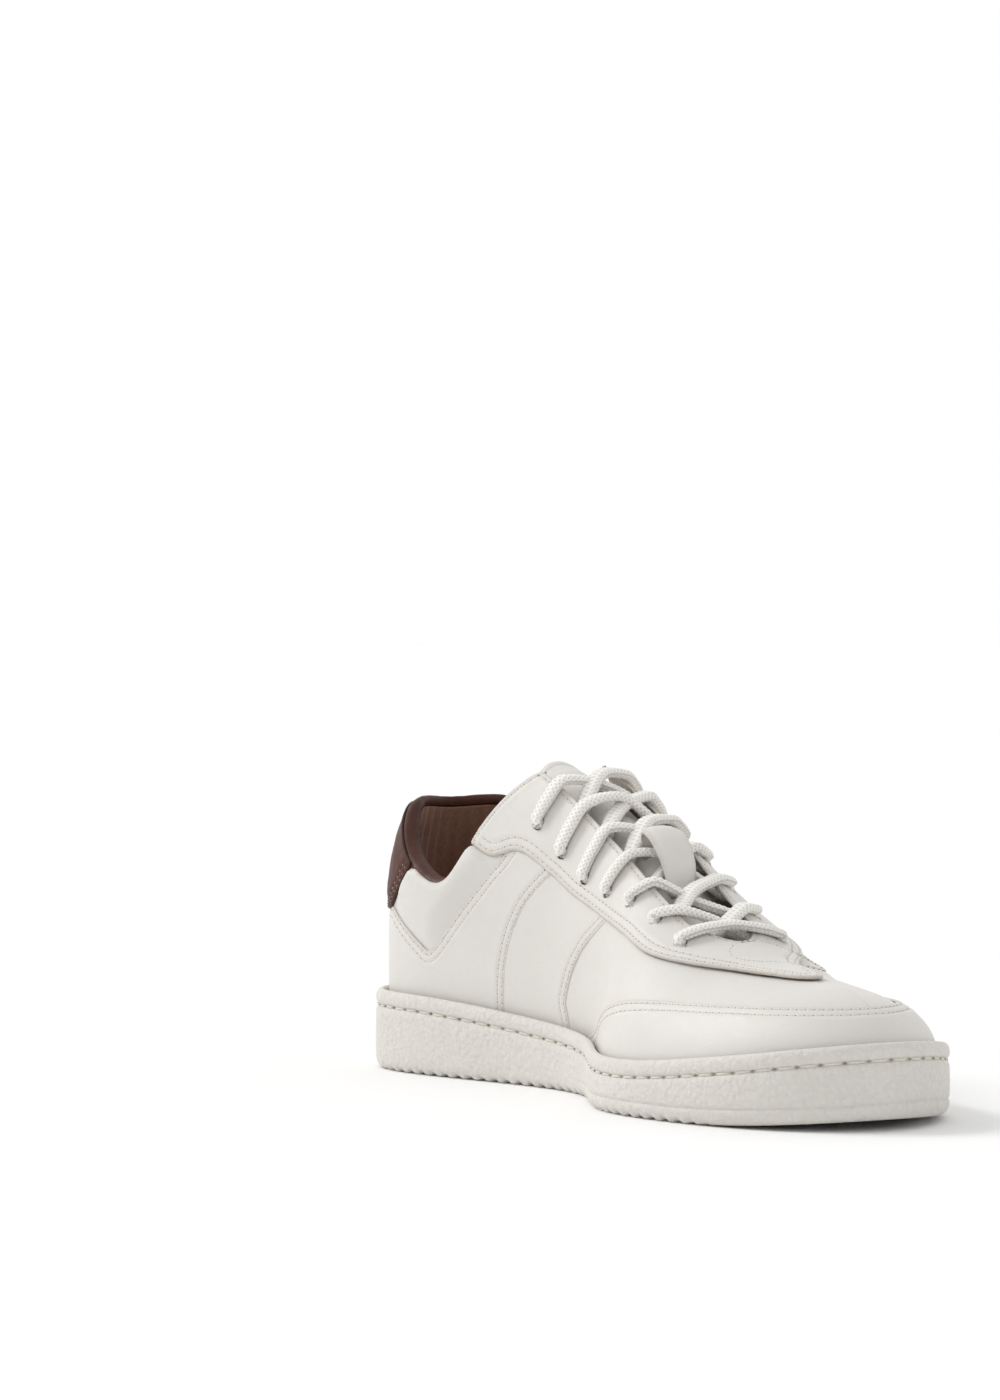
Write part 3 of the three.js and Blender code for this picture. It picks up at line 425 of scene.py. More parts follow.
def resample(line, pitch):
    length = run_along(line)
    count = max(int(round(length[-1] / pitch)), 2)
    places = (np.arange(count) + 0.5) * length[-1] / count
    at = np.stack([np.interp(places, length, line[:, k]) for k in range(3)], -1)
    ahead = np.stack([np.interp(places + 0.4, length, line[:, k]) for k in range(3)], -1)
    behind = np.stack([np.interp(places - 0.4, length, line[:, k]) for k in range(3)], -1)
    return at, unit(ahead - behind)


def nearest_normals(at, points, normals):
    flat, directions = points.reshape(-1, 3), normals.reshape(-1, 3)
    out = np.empty_like(at)
    for start in range(0, len(at), 200):
        block = at[start:start + 200]
        square = (block**2).sum(1)[:, None] + (flat**2).sum(1)[None] - 2 * block @ flat.T
        out[start:start + 200] = directions[square.argmin(1)]
    return out


def sew(line, points, normals, body="shoe", pitch=STITCH_PITCH):
    """Adds a row of stitches along a line over a grid."""
    if len(line) < 4:
        return
    at, along = resample(line, pitch)
    out = nearest_normals(at, points, normals)
    THREADS[body].append((at, along, out, pitch))


def lift_panel(turn, angle, layer, thickness, edges, bulge=None, grain_seed=0, rounding=ROUNDING):
    """Outer and inner grids of a panel. edges lists (which border, rows of stitches) that show."""
    base = upper(turn, angle, layer)
    borders = {"u0": base[0], "u1": base[-1], "v0": base[:, 0], "v1": base[:, -1]}
    depth = np.full(turn.shape, float(layer))
    nearest = np.full(turn.shape, 1e3)
    lines = []
    for which, rows in edges:
        away = distance_to(base, borders[which])
        nearest = np.minimum(nearest, away)
        depth += edge_profile(away, rows, rounding)
        lines.append((which, rows, away))
    depth += 0.10 * noise(base, 22, grain_seed) + 0.05 * noise(base, 7, grain_seed + 5)
    if bulge is not None:
        depth -= bulge(base, nearest)
    outer = upper(turn, angle, depth)
    inner = upper(turn, angle, np.maximum(layer + thickness, depth + 0.15))
    normals = grid_normals(outer)
    middle = tuple(k // 2 for k in turn.shape)
    if np.dot(normals[middle], outer[middle] - inner[middle]) < 0:
        normals = -normals
    rows = []
    for which, offsets, away in lines:
        for offset in offsets:
            p, d = (outer, away) if which[0] == "v" else (outer.transpose(1, 0, 2), away.T)
            if which[1] == "1":
                p, d = p[:, ::-1], d[:, ::-1]
            rows.append(crossing_line(p, d, offset))
    return outer, inner, normals, nearest, rows


def panel(name, turn, angle, layer, thickness, edges, material, slot, nodes, sewn="shoe", bulge=None,
          seed=0, holes=None, rounding=ROUNDING):
    outer, inner, normals, nearest, rows = lift_panel(
        turn, angle, layer, thickness, edges, bulge, seed, rounding)
    keep = None
    if holes is not None:
        keep, outer, inner = holes(outer, inner)
    for row in rows:
        sew(row, outer, normals, sewn)
    points, faces, used = sheet(outer, inner, keep)
    # Painted shade: the colour darkens within about a millimetre of each cut edge and over the whole underside
    # of the panel.
    edge_shade = np.concatenate([np.exp(-nearest.ravel() / 0.7), np.ones(nearest.size)])[used]
    return put(name, points, faces, material, slot, nodes, edge_shade=edge_shade)


def wall_grid(start, end, low, high, show_low=False, show_high=True, show_start=False, show_end=False,
              fine=0.45, coarse=2.0):
    """Places between two edges along the shoe and two heights. start and end take the share of height."""
    ends = np.linspace(0, 1, 9)
    t0, t1 = start(ends), end(ends)
    run = np.linspace(0, 1, 60)
    middle = mix(t0[4], t1[4], run)
    wide = run_along(upper(middle, angle_at(middle, mix(low(middle), high(middle), 0.5))))[-1]
    tall = np.linalg.norm(upper(middle, angle_at(middle, high(middle)))
                          - upper(middle, angle_at(middle, low(middle))), axis=-1).max()
    us = spacing(wide, fine, coarse=coarse, start=show_start, end=show_end)
    vs = spacing(tall, fine, coarse=coarse, start=show_low, end=show_high)
    u, v = np.meshgrid(us, vs, indexing="ij")
    turn = mix(start(v), end(v), u)
    return turn, angle_at(turn, mix(low(turn), high(turn), v))


def at_heel(side):
    return HEEL_TURN if side > 0 else HEEL_TURN + 1


def below_lip(turn):
    return lip_height(station(turn)) - 3.5


# the collar edge of the quarter: the V below the padded panel, then up behind the eyestay
v_edge = through([(0.1, 58), (0.137, 52), (0.175, 45.8), (0.19, 43.6), (0.205, 46.2), (0.253, 62),
                  (0.287, 73.5), (0.3, 78), (0.33, 92)])


def quarter_top(turn):
    x = station(turn)
    start = 0.28 * LENGTH
    return np.minimum(v_edge(x), np.where(x > start, eyestay_edge(np.maximum(x, start)) + 5, 999))


def edge_turns(curve, side, low, high, shift=0.0):
    """The turns of an edge given as stations over heights, for shares of a panel's height."""
    def at(v):
        turn = turn_at(LENGTH * curve(mix(15, 70, v)), side)
        for _ in range(3):
            turn = turn_at(LENGTH * curve(mix(low(turn), high(turn), v)) + shift, side)
        return turn
    return at


def under_eyestay(turn):
    return eyestay_edge(station(turn)) + 5


def make_quarter(name, side, leather):
    edge = edge_turns(rear_seam, side, below_lip, under_eyestay)
    turn, angle = wall_grid(lambda v: np.full(v.shape, at_heel(side)), edge, below_lip, quarter_top,
                            show_end=True, coarse=1.1)
    panel(f"{name}_quarter_leather", turn, angle, 1.2, 1.0, [("u1", (1.3, 3.6)), ("v1", (1.5, 3.9))],
          leather, "white_leather", [f"{name}_quarter"], seed=side, rounding=0.3)


def make_stripe(name, side, leather):
    start = edge_turns(rear_seam, side, below_lip, under_eyestay, -4)
    end = edge_turns(vamp_edge, side, below_lip, under_eyestay)
    turn, angle = wall_grid(start, end, below_lip, under_eyestay, show_high=False, show_end=True, coarse=1.4)
    panel(f"{name}_band_leather", turn, angle, 1.45, 1.0, [("u1", (1.5, 3.9))], leather, "white_leather",
          [f"{name}_side_stripe"], seed=side + 3)


def collar_bulge(base, nearest):
    x, z = base[..., 0], base[..., 2]
    full = 2.7 * ease(z - v_edge(x), -3.0, 14.0) * (1 - 0.35 * ease(z, topline(x) - 5, topline(x)))
    tab = ease(z - tab_edge(x), -4.5, -0.8) * (1 - ease(x, 45, 50))
    facing = ease(z - eyestay_edge(x), -4.5, -0.8) * ease(x, 71, 76)
    return mix(full, 0.55, np.maximum(tab, facing))


def make_collar_panel(name, side, leather):
    turn, angle = wall_grid(
        lambda v: turn_at(np.full(v.shape, 0.085 * LENGTH), side),
        lambda v: turn_at(np.full(v.shape, 0.3 * LENGTH), side),
        lambda t: v_edge(station(t)) - 3.5, lambda t: topline(station(t)) - 0.2, coarse=1.1)
    panel(f"{name}_collar_leather", turn, angle, 2.2, 1.0, [("v1", ())], leather, "white_leather",
          [f"{name}_collar_panel"], bulge=collar_bulge, seed=side + 7)


VAMP_START = [(-1.2, 0.42), (-1, 0.42), (-0.62, 0.45), (-0.52, 0.507), (-0.4, 0.62), (-0.25, 0.7), (0, 0.72)]
vamp_start = through([(r, x * LENGTH) for r, x in VAMP_START + [(-r, x) for r, x in VAMP_START[-2::-1]]], 1)


def make_vamp(leather):
    u = np.linspace(0, 1, 150)[:, None]
    around = np.linspace(-1, 1, 150)[None]
    turn_round = np.clip(around, -1, 1)
    back = vamp_start(turn_round) - 3
    x = mix(back, STATIONS[TOE], mix(u, (1 - np.cos(math.pi * u)) / 2, u))
    turn, angle = place_round(x, turn_round + 0 * u)
    turn[-1] = TOE_TURN
    low = angle_at(turn, below_lip(turn))
    angle = np.where(np.abs(turn_round + 0 * u) > 0.999, low, angle)
    panel("vamp_leather", turn, angle, 1.95, 1.0, [], leather, "white_leather", ["vamp"], seed=11,
          bulge=lambda base, nearest: 0.1 * noise(base * (1, 2.5, 2.5), 26, 4))


def make_toe_overlay(leather):
    start, end = turn_at(0.5 * LENGTH, 1), turn_at(0.5 * LENGTH, -1)
    turn, angle = wall_grid(lambda v: np.full(v.shape, start), lambda v: np.full(v.shape, end), below_lip,
                            lambda t: np.maximum(overlay_edge(station(t)), below_lip(t) + 2),
                            coarse=1.2)
    panel("toe_overlay_leather", turn, angle, 0.75, 1.1, [("v1", (1.6, 4.3))], leather, "white_leather",
          ["toe_overlay"], seed=13)


def make_heel_tab(leather):
    start, end = turn_at(0.147 * LENGTH, -1) - 1, turn_at(0.147 * LENGTH, 1)
    turn, angle = wall_grid(lambda v: np.full(v.shape, start), lambda v: np.full(v.shape, end),
                            lambda t: tab_edge(station(t)), lambda t: topline(station(t)) + 0.2,
                            show_low=True, coarse=1.0)
    pad = lambda base, nearest: 0.5 * ease(nearest, 3, 9) + 0.12 * noise(base * (1, 1, 3), 9, 21)
    panel("heel_tab_leather", turn, angle, 0.2, 1.2, [("v0", (1.5, 3.7)), ("v1", ())], leather,
          "brown_leather", ["heel_tab"], bulge=pad, seed=17, sewn="heel")


# ---- eyestay ---------------------------------------------------------------------------------------
FRONT, THROAT_FRONT, THROAT_BACK = 0.885 * LENGTH, 0.695 * LENGTH, 0.317 * LENGTH


def yoke_place(u, v):
    half, side = np.abs(2 * u - 1), np.where(u < 0.5, -1, 1)
    x = mix(FRONT, 0.25 * LENGTH, half**1.6)
    clear = np.minimum(x, 0.82 * LENGTH)
    straight = round_at(clear, eyestay_edge(clear), side)
    around = straight * np.sqrt(np.clip((FRONT - x) / (FRONT - 0.82 * LENGTH), 0, 1))
    tx = mix(THROAT_FRONT, THROAT_BACK, half**1.3)
    squeeze = np.sqrt(np.clip((THROAT_FRONT - tx) / (0.05 * LENGTH), 0, 1))
    _, angle = across(tx, side * THROAT_HALF * squeeze)
    throat = side * (1 - angle / (math.pi / 2))
    return place_round(mix(x, tx, v), mix(around, throat, v))


def eyelet_station(row):
    u = row / (EYELETS - 1)
    return mix(0.347 * LENGTH, 0.673 * LENGTH, u - 0.132 * u * (1 - u))


def spot(x, distance, depth):
    turn, angle = across(np.float64(x), np.float64(distance))
    return upper(turn, angle, depth)


def eyelet_axes():
    axes = []
    for row in range(EYELETS):
        for side in (-1, 1):
            low, high = (spot(eyelet_station(row), side * EYELET_SPREAD, d) for d in (3, -3))
            axes.append(((low + high) / 2, unit(high - low)))
    return axes


def punch(outer, inner):
    """Removes the cells inside each eyelet and rounds what is left to its circle."""
    centres = (outer[:-1, :-1] + outer[1:, 1:]) / 2
    keep = np.ones(centres.shape[:2], bool)
    for centre, axis in eyelet_axes():
        radial = lambda p: (p - centre) - np.einsum("...k,k->...", p - centre, axis)[..., None] * axis
        near = np.linalg.norm(centres - centre, axis=-1) < 8
        gone = near & (np.linalg.norm(radial(centres), axis=-1) < EYELET_RADIUS)
        keep &= ~gone
        touched = np.zeros(outer.shape[:2], bool)
        i, j = np.nonzero(gone)
        for a, b in ((0, 0), (0, 1), (1, 0), (1, 1)):
            touched[i + a, j + b] = True
        for grid, radius in ((outer, EYELET_RADIUS + 0.25), (inner, EYELET_RADIUS)):
            r = radial(grid[touched])
            grid[touched] += unit(r) * radius - r
        close = (np.linalg.norm(outer - centre, axis=-1) < 8) & ~touched
        r = np.linalg.norm(radial(outer[close]), axis=-1)
        outer[close] -= axis * (0.35 * np.exp(-((r - EYELET_RADIUS) / 0.8)))[:, None]
    return keep, outer, inner


def make_eyestay(leather):
    fine = np.linspace(0, 1, 1600)
    rim, throat = (upper(*yoke_place(fine, v), 0.0) for v in (0.0, 1.0))
    length = (run_along(rim) + run_along(throat)) / 2
    us = np.interp(spacing(length[-1], coarse=0.85) * length[-1], length, fine)
    vs = spacing(30, coarse=0.85)
    u, v = np.meshgrid(us, vs, indexing="ij")
    turn, angle = yoke_place(u, v)
    panel("eyestay_leather", turn, angle, 0.0, 1.15,
          [("v0", (1.6, 4.2)), ("v1", (1.8,)), ("u0", (1.8,)), ("u1", (1.8,))], leather, "white_leather",
          ["eyestay"], holes=punch, seed=19)
    oval = np.linspace(0, 2 * math.pi, 90)
    x, y = 219.5 + 10.5 * np.sin(oval), 3 + 17.5 * np.cos(oval)
    turn, angle = across(x, y - ridge_side(x))
    line = upper(turn, angle, 0.02)
    sew(line, line[None], unit(upper(turn, angle, -1) - line)[None])


# ---- sole ------------------------------------------------------------------------------------------
def sole_turns(step):
    fine = np.linspace(0, 1, 8001)
    length = run_along(outline_at(fine))
    count = int(round(length[-1] / step))
    return np.interp(np.arange(count) * length[-1] / count, length, fine), length[-1]


def rib(turns, total):
    """Height by which the ribs of the rim are cut back, none at the toe and the heel ends."""
    run = np.arange(len(turns)) * total / len(turns)
    pitch = total / round(total / 6.4)
    wave = np.clip(2.2 * np.sin(2 * math.pi * run / pitch), -1, 1)
    x = station(turns)
    share = ease(x, 22, 45) * (1 - ease(x, 238, 262))
    return 0.75 * (0.5 - 0.5 * wave) * share


# (depth inwards, height over the underside, share of the flash line or of the ribs)
FLASH_LINE = [(0, 6.2, 0), (0.02, 5.6, 0.4), (0.05, 5.3, 1), (0.05, 5.0, 1), (0.05, 4.7, 0.4), (0.1, 4.1, 0),
              (0.2, 3.1, 0)]
RIM_SECTION = [(0.45, 2.1, 0.2), (0.9, 1.2, 0.6), (1.5, 0.55, 1), (2.3, 0.12, 1), (3.2, 0, 1), (5.5, 0, 1),
               (8, 0, 1), (10.5, 0, 1), (12, 0, 0.6), (12.9, 0, 0), (13.5, 0, 0), (13.85, 0.2, 0), (RIM, 0.6, 0),
               (RIM, RECESS, 0)]


def make_cupsole(rubber):
    turns, total = sole_turns(0.8)
    cut = rib(turns, total)
    lip = lambda drop: (lambda x: lip_height(x) - drop)
    up = lambda height: (lambda x: underside(x) + height)
    flash = 0.45 * ease(station(turns), 140, 175)
    profile = [
        (4.4, up(CUP_FLOOR)), (3.55, up(CUP_FLOOR + 0.35)), (LIP, up(CUP_FLOOR + 1.2)),
        (LIP, lip(3)), (LIP, lip(1)), (3.0, lip(0.35)), (2.6, lip(0.05)), (2.0, lip(-0.05)),
        (1.4, lip(0.1)), (0.8, lip(0.55)), (0.35, lip(1.3)), (0.1, lip(2.3)), (0.05, lip(3.4)),
        (0.2, lip(4.2)), (0.5, lip(4.75)), (1.0, lip(5.1)), (1.3, lip(GROOVE_DROP)),
        (1.0, lip(5.9)), (0.5, lip(6.2)), (0.2, lip(6.8)), (0.05, lip(8)),
    ]
    rings = []
    for depth, height in profile:
        p = inset(turns, depth)
        rings.append(np.column_stack([p, height(p[:, 0])]))
    for share in (0.25, 0.5, 0.75):
        p = inset(turns, 0.0)
        z = mix(lip_height(p[:, 0]) - 8, underside(p[:, 0]) + 6.4, share)
        rings.append(np.column_stack([p, z]))
    for depth, height, groove in FLASH_LINE:
        p = inset(turns, depth + groove * flash)
        rings.append(np.column_stack([p, underside(p[:, 0]) + height]))
    for depth, height, share in RIM_SECTION:
        inwards = depth + 0.6 * cut * share * (depth < 3)
        p = inset(turns, inwards)
        rings.append(np.column_stack([p, underside(p[:, 0]) + height + cut * share]))
    rings = np.array(rings)
    rough = 0.09 * noise(rings, 1.7, 3) + 0.05 * noise(rings, 0.9, 8)
    pull = np.ones(len(rings))[:, None]
    pull[:4] = 0
    pull[-2:] = 0
    out = inset(turns, np.zeros(turns.shape)) - inset(turns, np.ones(turns.shape))
    rings[..., :2] += out[None] * (rough * pull)[..., None]
    points, faces, count = rings_mesh(rings)
    caps = cap(0, count) + cap((len(rings) - 1) * count, count, turned=True)
    put("cupsole_rubber", points, faces + caps, rubber, "white_rubber", ["cupsole"])


EDGE_TURNS = np.linspace(0, 1, 6001)


def tread_span(x, depth=RIM + 0.3):
    """The inner and outer edge of the tread at a station."""
    edge = inset(EDGE_TURNS, depth)
    tip, end = np.argmin(edge[:, 0]), np.argmax(edge[:, 0])
    order = np.roll(np.arange(len(edge)), -tip)
    cut = (end - tip) % len(edge)
    outer, inner = edge[order[:cut]], edge[order[cut:]][::-1]
    return np.interp(x, inner[:, 0], inner[:, 1]), np.interp(x, outer[:, 0], outer[:, 1])


def revolve(profile, centre, count=64):
    """Loops of points round a vertical axis from (radius, height) pairs."""
    a = np.arange(count) * 2 * math.pi / count
    loops = [np.column_stack([centre[0] + r * np.cos(a), centre[1] + r * np.sin(a), np.full(count, z)])
             for r, z in profile]
    points, faces, _ = rings_mesh(loops)
    last = (len(profile) - 1) * count
    return points, faces + [list(range(count))[::-1], list(range(last, last + count))]


def in_tread(x, y, margin):
    low, high = tread_span(x)
    tip, end = tread_ends()
    return (x > tip + margin) & (x < end - margin) & (y > low + margin) & (y < high - margin)


def tread_ends():
    edge = inset(EDGE_TURNS, RIM + 0.3)
    return edge[:, 0].min(), edge[:, 0].max()


def stud_places():
    places = []
    for i, x in enumerate(np.arange(38.5, 268, STUD_ALONG)):
        for y in np.arange(-60, 60, STUD_ACROSS) + (i % 2) * STUD_ACROSS / 2:
            pivot, disc = math.dist((x, y), PIVOT), math.dist((x, y), HEEL_DISC)
            if in_tread(x, y, 0.9) and pivot > 27.4 and disc > 14.2:
                places.append((x, y))
    return places


def make_tread(rubber):
    tip, end = tread_ends()
    x = mix(tip + 0.05, end - 0.05, rounded_steps(160))
    low, high = tread_span(x)
    v = np.linspace(0, 1, 60)[None]
    y = mix(low[:, None], high[:, None], v)
    grid = lambda height: level_grid(x, y, underside(x)[:, None] + height)
    points, faces, _ = sheet(grid(1.5), grid(RECESS - 0.3))
    parts = [(points, faces.tolist())]
    circles = 14
    for sx, sy in stud_places():
        base = underside(sx)
        wobble = 0.04 * math.sin(sx * 12.9 + sy * 7.7)
        face = base + wobble
        profile = [(2.5, base + 1.7), (2.45, base + 0.95), (2.28, face + 0.62), (2.0, face + 0.45),
                   (1.2, face + 0.38)]
        parts.append(revolve(profile, (sx, sy), circles))
    top = 1.9
    dish = [(9.6, top), (9.55, 0.9), (9.3, 0.5), (8.9, 0.4), (8.4, 0.5), (7.6, 1.0), (6, 1.2), (3, 1.25)]
    parts.append(revolve(dish, PIVOT))
    for inner, outer in ((12.2, 14.8), (17.1, 19.8), (21.9, 24.4)):
        ring = [(inner, top), (inner + 0.15, 0.85), (inner + 0.45, 0.5), ((inner + outer) / 2, 0.4),
                (outer - 0.45, 0.5), (outer - 0.15, 0.85), (outer, top)]
        parts.append(clipped_ring(ring, PIVOT))
    parts.append(clipped_ring([(26.2, top), (26.4, 1.1), (27.1, 1.0), (27.8, 1.1), (28.0, top)], PIVOT))
    disc = [(11.0, top), (10.95, 0.9), (10.7, 0.6), (10.2, 0.5), (6, 0.5), (2, 0.5)]
    parts.append(revolve(disc, HEEL_DISC))
    parts.append(revolve([(12.4, top), (12.3, 1.1), (12.0, 0.95), (11.8, 1.1), (11.7, top)], HEEL_DISC))
    for first, pitch, wide, count in ((18.4, 4.75, 3.75, 4), (268.2, 4.2, 3.2, 4)):
        for k in range(count):
            parts.append(tread_bar(first + k * pitch, wide))
    points, faces = merge(parts)
    put("tread_rubber_insert", points, faces, rubber, "tread_rubber", ["tread_panel"])


def clipped_ring(profile, centre, count=120):
    """A closed ring round a vertical axis, drawn in where it would leave the tread."""
    a = np.arange(count) * 2 * math.pi / count
    loops = []
    for r, z in profile:
        p = np.column_stack([centre[0] + r * np.cos(a), centre[1] + r * np.sin(a)])
        low, high = tread_span(p[:, 0], RIM - 0.4)
        loops.append(np.column_stack([p[:, 0], np.clip(p[:, 1], low, high), np.full(count, z)]))
    points, faces, _ = rings_mesh(loops)
    i = np.arange(count)
    last = (len(profile) - 1) * count
    faces += np.stack([last + i, last + (i + 1) % count, (i + 1) % count, i], -1).tolist()
    return points, faces


def tread_bar(x, wide):
    xs = np.array([0, 0.25, 0.6, wide / 2, wide - 0.6, wide - 0.25, wide]) + x
    drop = np.array([1.2, 0.45, 0.05, 0, 0.05, 0.45, 1.2])
    v = np.linspace(0, 1, 20)
    low, high = tread_span(xs)
    y = mix((low + 0.6)[:, None], (high - 0.6)[:, None], v[None])
    ends = np.minimum(1.2, 1.2 * np.exp(-np.minimum(v, 1 - v) * 60))
    z = underside(xs)[:, None] + 0.4 + np.maximum(drop[:, None], ends[None])
    bottom = level_grid(xs, y, z)
    top = bottom.copy()
    top[..., 2] = underside(xs)[:, None] + 2.2
    points, faces, _ = sheet(bottom, top)
    return points, faces.tolist()


def sole_stitches(thread, dark):
    """The thread of the sidewall, one dash for each stitch, dipping into a slot at each end."""
    fine = np.linspace(0, 1, 6001)
    p = inset(fine, 0.95)
    line = np.column_stack([p, lip_height(p[:, 0]) - GROOVE_DROP])
    at, along = resample(line, SOLE_STITCH_PITCH)
    out = unit(np.column_stack([along[:, 1], -along[:, 0], np.zeros(len(at))]))
    if np.dot(out[0], at[0] - (LENGTH / 2, 0, at[0][2])) < 0:
        out = -out
    dashes = dash_meshes(at, along, out, 6.3, 0.48, 0.75)
    put("cupsole_thread", *dashes, thread, "cream_textile", ["cupsole_stitch"])
    # Painted shade: dark dashes between the stitches stand for the shade in the slots where the thread dips in.
    slots = dash_meshes(at + along * SOLE_STITCH_PITCH / 2 + out * 0.12, along, out, 1.5, 0.3, 0.1)
    put("cupsole_slot_shades", *slots, dark, "white_rubber")


def dash_meshes(at, along, out, length, radius, sink, sides=6, segments=7):
    """Short rounded threads: centre, direction and outward direction of each."""
    side = np.cross(along, out)
    s = np.linspace(-1, 1, segments)
    wide = radius * np.sqrt(np.clip(1 - s**4, 0.02, 1))
    low = -sink * np.abs(s) ** 3
    a = np.arange(sides) * 2 * math.pi / sides
    local = np.stack([np.repeat(s * length / 2, sides), np.outer(wide, np.cos(a)).ravel(),
                      (np.outer(wide, np.sin(a)) + low[:, None]).ravel()], -1)
    points = (at[:, None] + local[None, :, :1] * along[:, None] + local[None, :, 1:2] * side[:, None]
              + local[None, :, 2:] * out[:, None])
    faces = []
    k = np.arange(sides)
    for r in range(segments - 1):
        a0, b0 = r * sides + k, r * sides + (k + 1) % sides
        faces.append(np.stack([a0, b0, b0 + sides, a0 + sides], -1))
    for start in (0, (segments - 1) * sides):
        cap = start + np.array([[0, 1, 2, 3], [0, 3, 4, 5]])
        faces.append(cap[:, ::-1] if start == 0 else cap)
    faces = np.concatenate(faces)[:, ::-1]
    count = segments * sides
    every = (faces[None] + np.arange(len(at))[:, None, None] * count).reshape(-1, 4)
    return points.reshape(-1, 3), every


def make_threads(cream, brown, dark):
    for group, rows in THREADS.items():
        body = "tongue" if group == "tongue" else "shoe"
        thread = brown if group == "heel" else cream
        dashes, holes = [], []
        for at, along, out, pitch in rows:
            dashes.append(dash_meshes(at + out * 0.02, along, out, pitch * 0.74, 0.26, 0.3))
            # Painted shade: dark dashes between the stitches stand for the shade in the needle holes.
            between = at + along * pitch / 2 - out * 0.12
            holes.append(dash_meshes(between, along, out, 0.75, 0.3, 0.0, segments=4))
        for name, parts, material in (("thread", dashes, thread), ("stitch_hole_shades", holes, dark)):
            put(f"{group}_{name}", *merge(parts), material, "cream_textile", body=body)


# ---- mouth and linings -----------------------------------------------------------------------------
def pad_depth(x, z):
    share = np.clip((0.273 * LENGTH - x) / (0.04 * LENGTH), 0, 1) * np.clip((z - 54) / 10, 0, 1)
    return mix(4.3, 7.5, share)


def mouth_turns(reach, step):
    """Turns from a station on the inner side round the heel to the same station on the outer side."""
    first, last = turn_at(reach, -1) - 1, turn_at(reach, 1)
    return np.linspace(first, last, int(2 * reach * 1.25 / step))


def make_collar_roll(leather):
    turns = mouth_turns(0.335 * LENGTH, 0.8)
    x = station(turns)
    inner = mix(5.2, 8.6, np.clip((0.273 * LENGTH - x) / (0.05 * LENGTH), 0, 1))
    top = topline(x)
    loops = []
    for phi in np.linspace(-0.35, math.pi + 0.35, 26):
        share = (1 - math.cos(phi)) / 2
        depth = mix(1.3, inner, share)
        z = top - 1.4 + (inner - 1.3) * 0.36 * math.sin(phi)
        loops.append((depth, z))
    outer = np.stack([upper_level(turns, z, depth) for depth, z in loops], 1)
    ripple = 0.16 * noise(outer * (1, 1, 0.4), 6, 31) + 0.1 * noise(outer, 2.5, 33)
    core = outer.mean(axis=1, keepdims=True)
    outer = outer + unit(outer - core) * ripple[..., None]
    inside = mix(outer, core, 0.3)
    points, faces, _ = sheet(outer, inside)
    put("collar_roll_leather", points, faces, leather, "brown_leather", ["collar_rim"])


def upper_level(turn, z, depth):
    """A point at a height and a depth below the surface, also above the edge of the upper."""
    flat = upper(turn, angle_at(turn, z), depth)
    return np.stack([flat[..., 0], flat[..., 1], np.broadcast_to(z, flat.shape[:-1])], -1)


def make_quarter_lining(leather):
    turns = mouth_turns(0.36 * LENGTH, 1.0)
    x = station(turns)
    high = topline(x) - 2.6
    low = board_top(x) + 4.2
    v = spacing(70, 0.8, 30, 2.5, start=False, end=True)
    z = mix(low[:, None], high[:, None], v[None])
    turn = np.broadcast_to(turns[:, None], z.shape)
    run = run_along(inset(turns, 8.0))
    pleat = np.sin(2 * math.pi * run / 6.3 + 2.2 * noise(np.column_stack([run, run * 0, run * 0]), 15, 41))
    falls = ease(z, 58, 78) * (1 - 0.5 * ease(z - high[:, None], -4, 0)) * (1 - ease(x, 55, 85))[:, None]
    depth = pad_depth(x[:, None], z) + 0.55 * pleat[:, None] * falls
    base = upper_level(turn, z, depth)
    depth = depth + 0.9 * (1 - ease(z, 53, 62)) + 0.25 * noise(base, 14, 43) + 0.12 * noise(base, 5, 47)
    outer, inner = upper_level(turn, z, depth + 0.9), upper_level(turn, z, depth)
    points, faces, _ = sheet(outer, inner)
    put("quarter_lining_leather", points, faces, leather, "brown_lining", ["quarter_lining"])


def make_footbed(leather):
    depth = 9.6
    edge = inset(EDGE_TURNS, depth)
    x = mix(edge[:, 0].min() + 0.05, edge[:, 0].max() - 0.05, rounded_steps(150))
    low, high = tread_span(x, depth)
    v = np.linspace(-1, 1, 60)[None]
    y = mix(low[:, None], high[:, None], (v + 1) / 2)
    cup = 1.6 * np.abs(v) ** 3 * (1 - ease(x, 90, 190))[:, None] + 0.25 * np.abs(v) ** 6
    z = board_top(x)[:, None] + 4.1 + 0.9 + cup
    top = level_grid(x, y, z)
    top[..., 2] += 0.12 * noise(top, 16, 51)
    bottom = top - (0, 0, 1.0)
    points, faces, _ = sheet(top, bottom)
    put("footbed_leather", points, faces, leather, "brown_lining", ["footbed_cover"])


# ---- tongue ----------------------------------------------------------------------------------------
tongue_half = through([(0.293, 15), (0.33, 22), (0.5, 22), (0.72, 17)])
tongue_depth = through([(0.293, 7.5), (0.6, 7.5), (0.68, 5.7), (0.72, 5.7)])


def tongue_grid(us, vs):
    x = mix(0.285 * LENGTH, 0.72 * LENGTH, us)[:, None]
    crown = np.sqrt(np.clip(1 - (1 - np.clip((x - 0.285 * LENGTH) / 9, 0, 1)) ** 2, 0.02, 1))
    half = tongue_half(x) * mix(0.55, 1, crown)
    turn, angle = across(x, vs[None] * half)
    return x, turn, angle


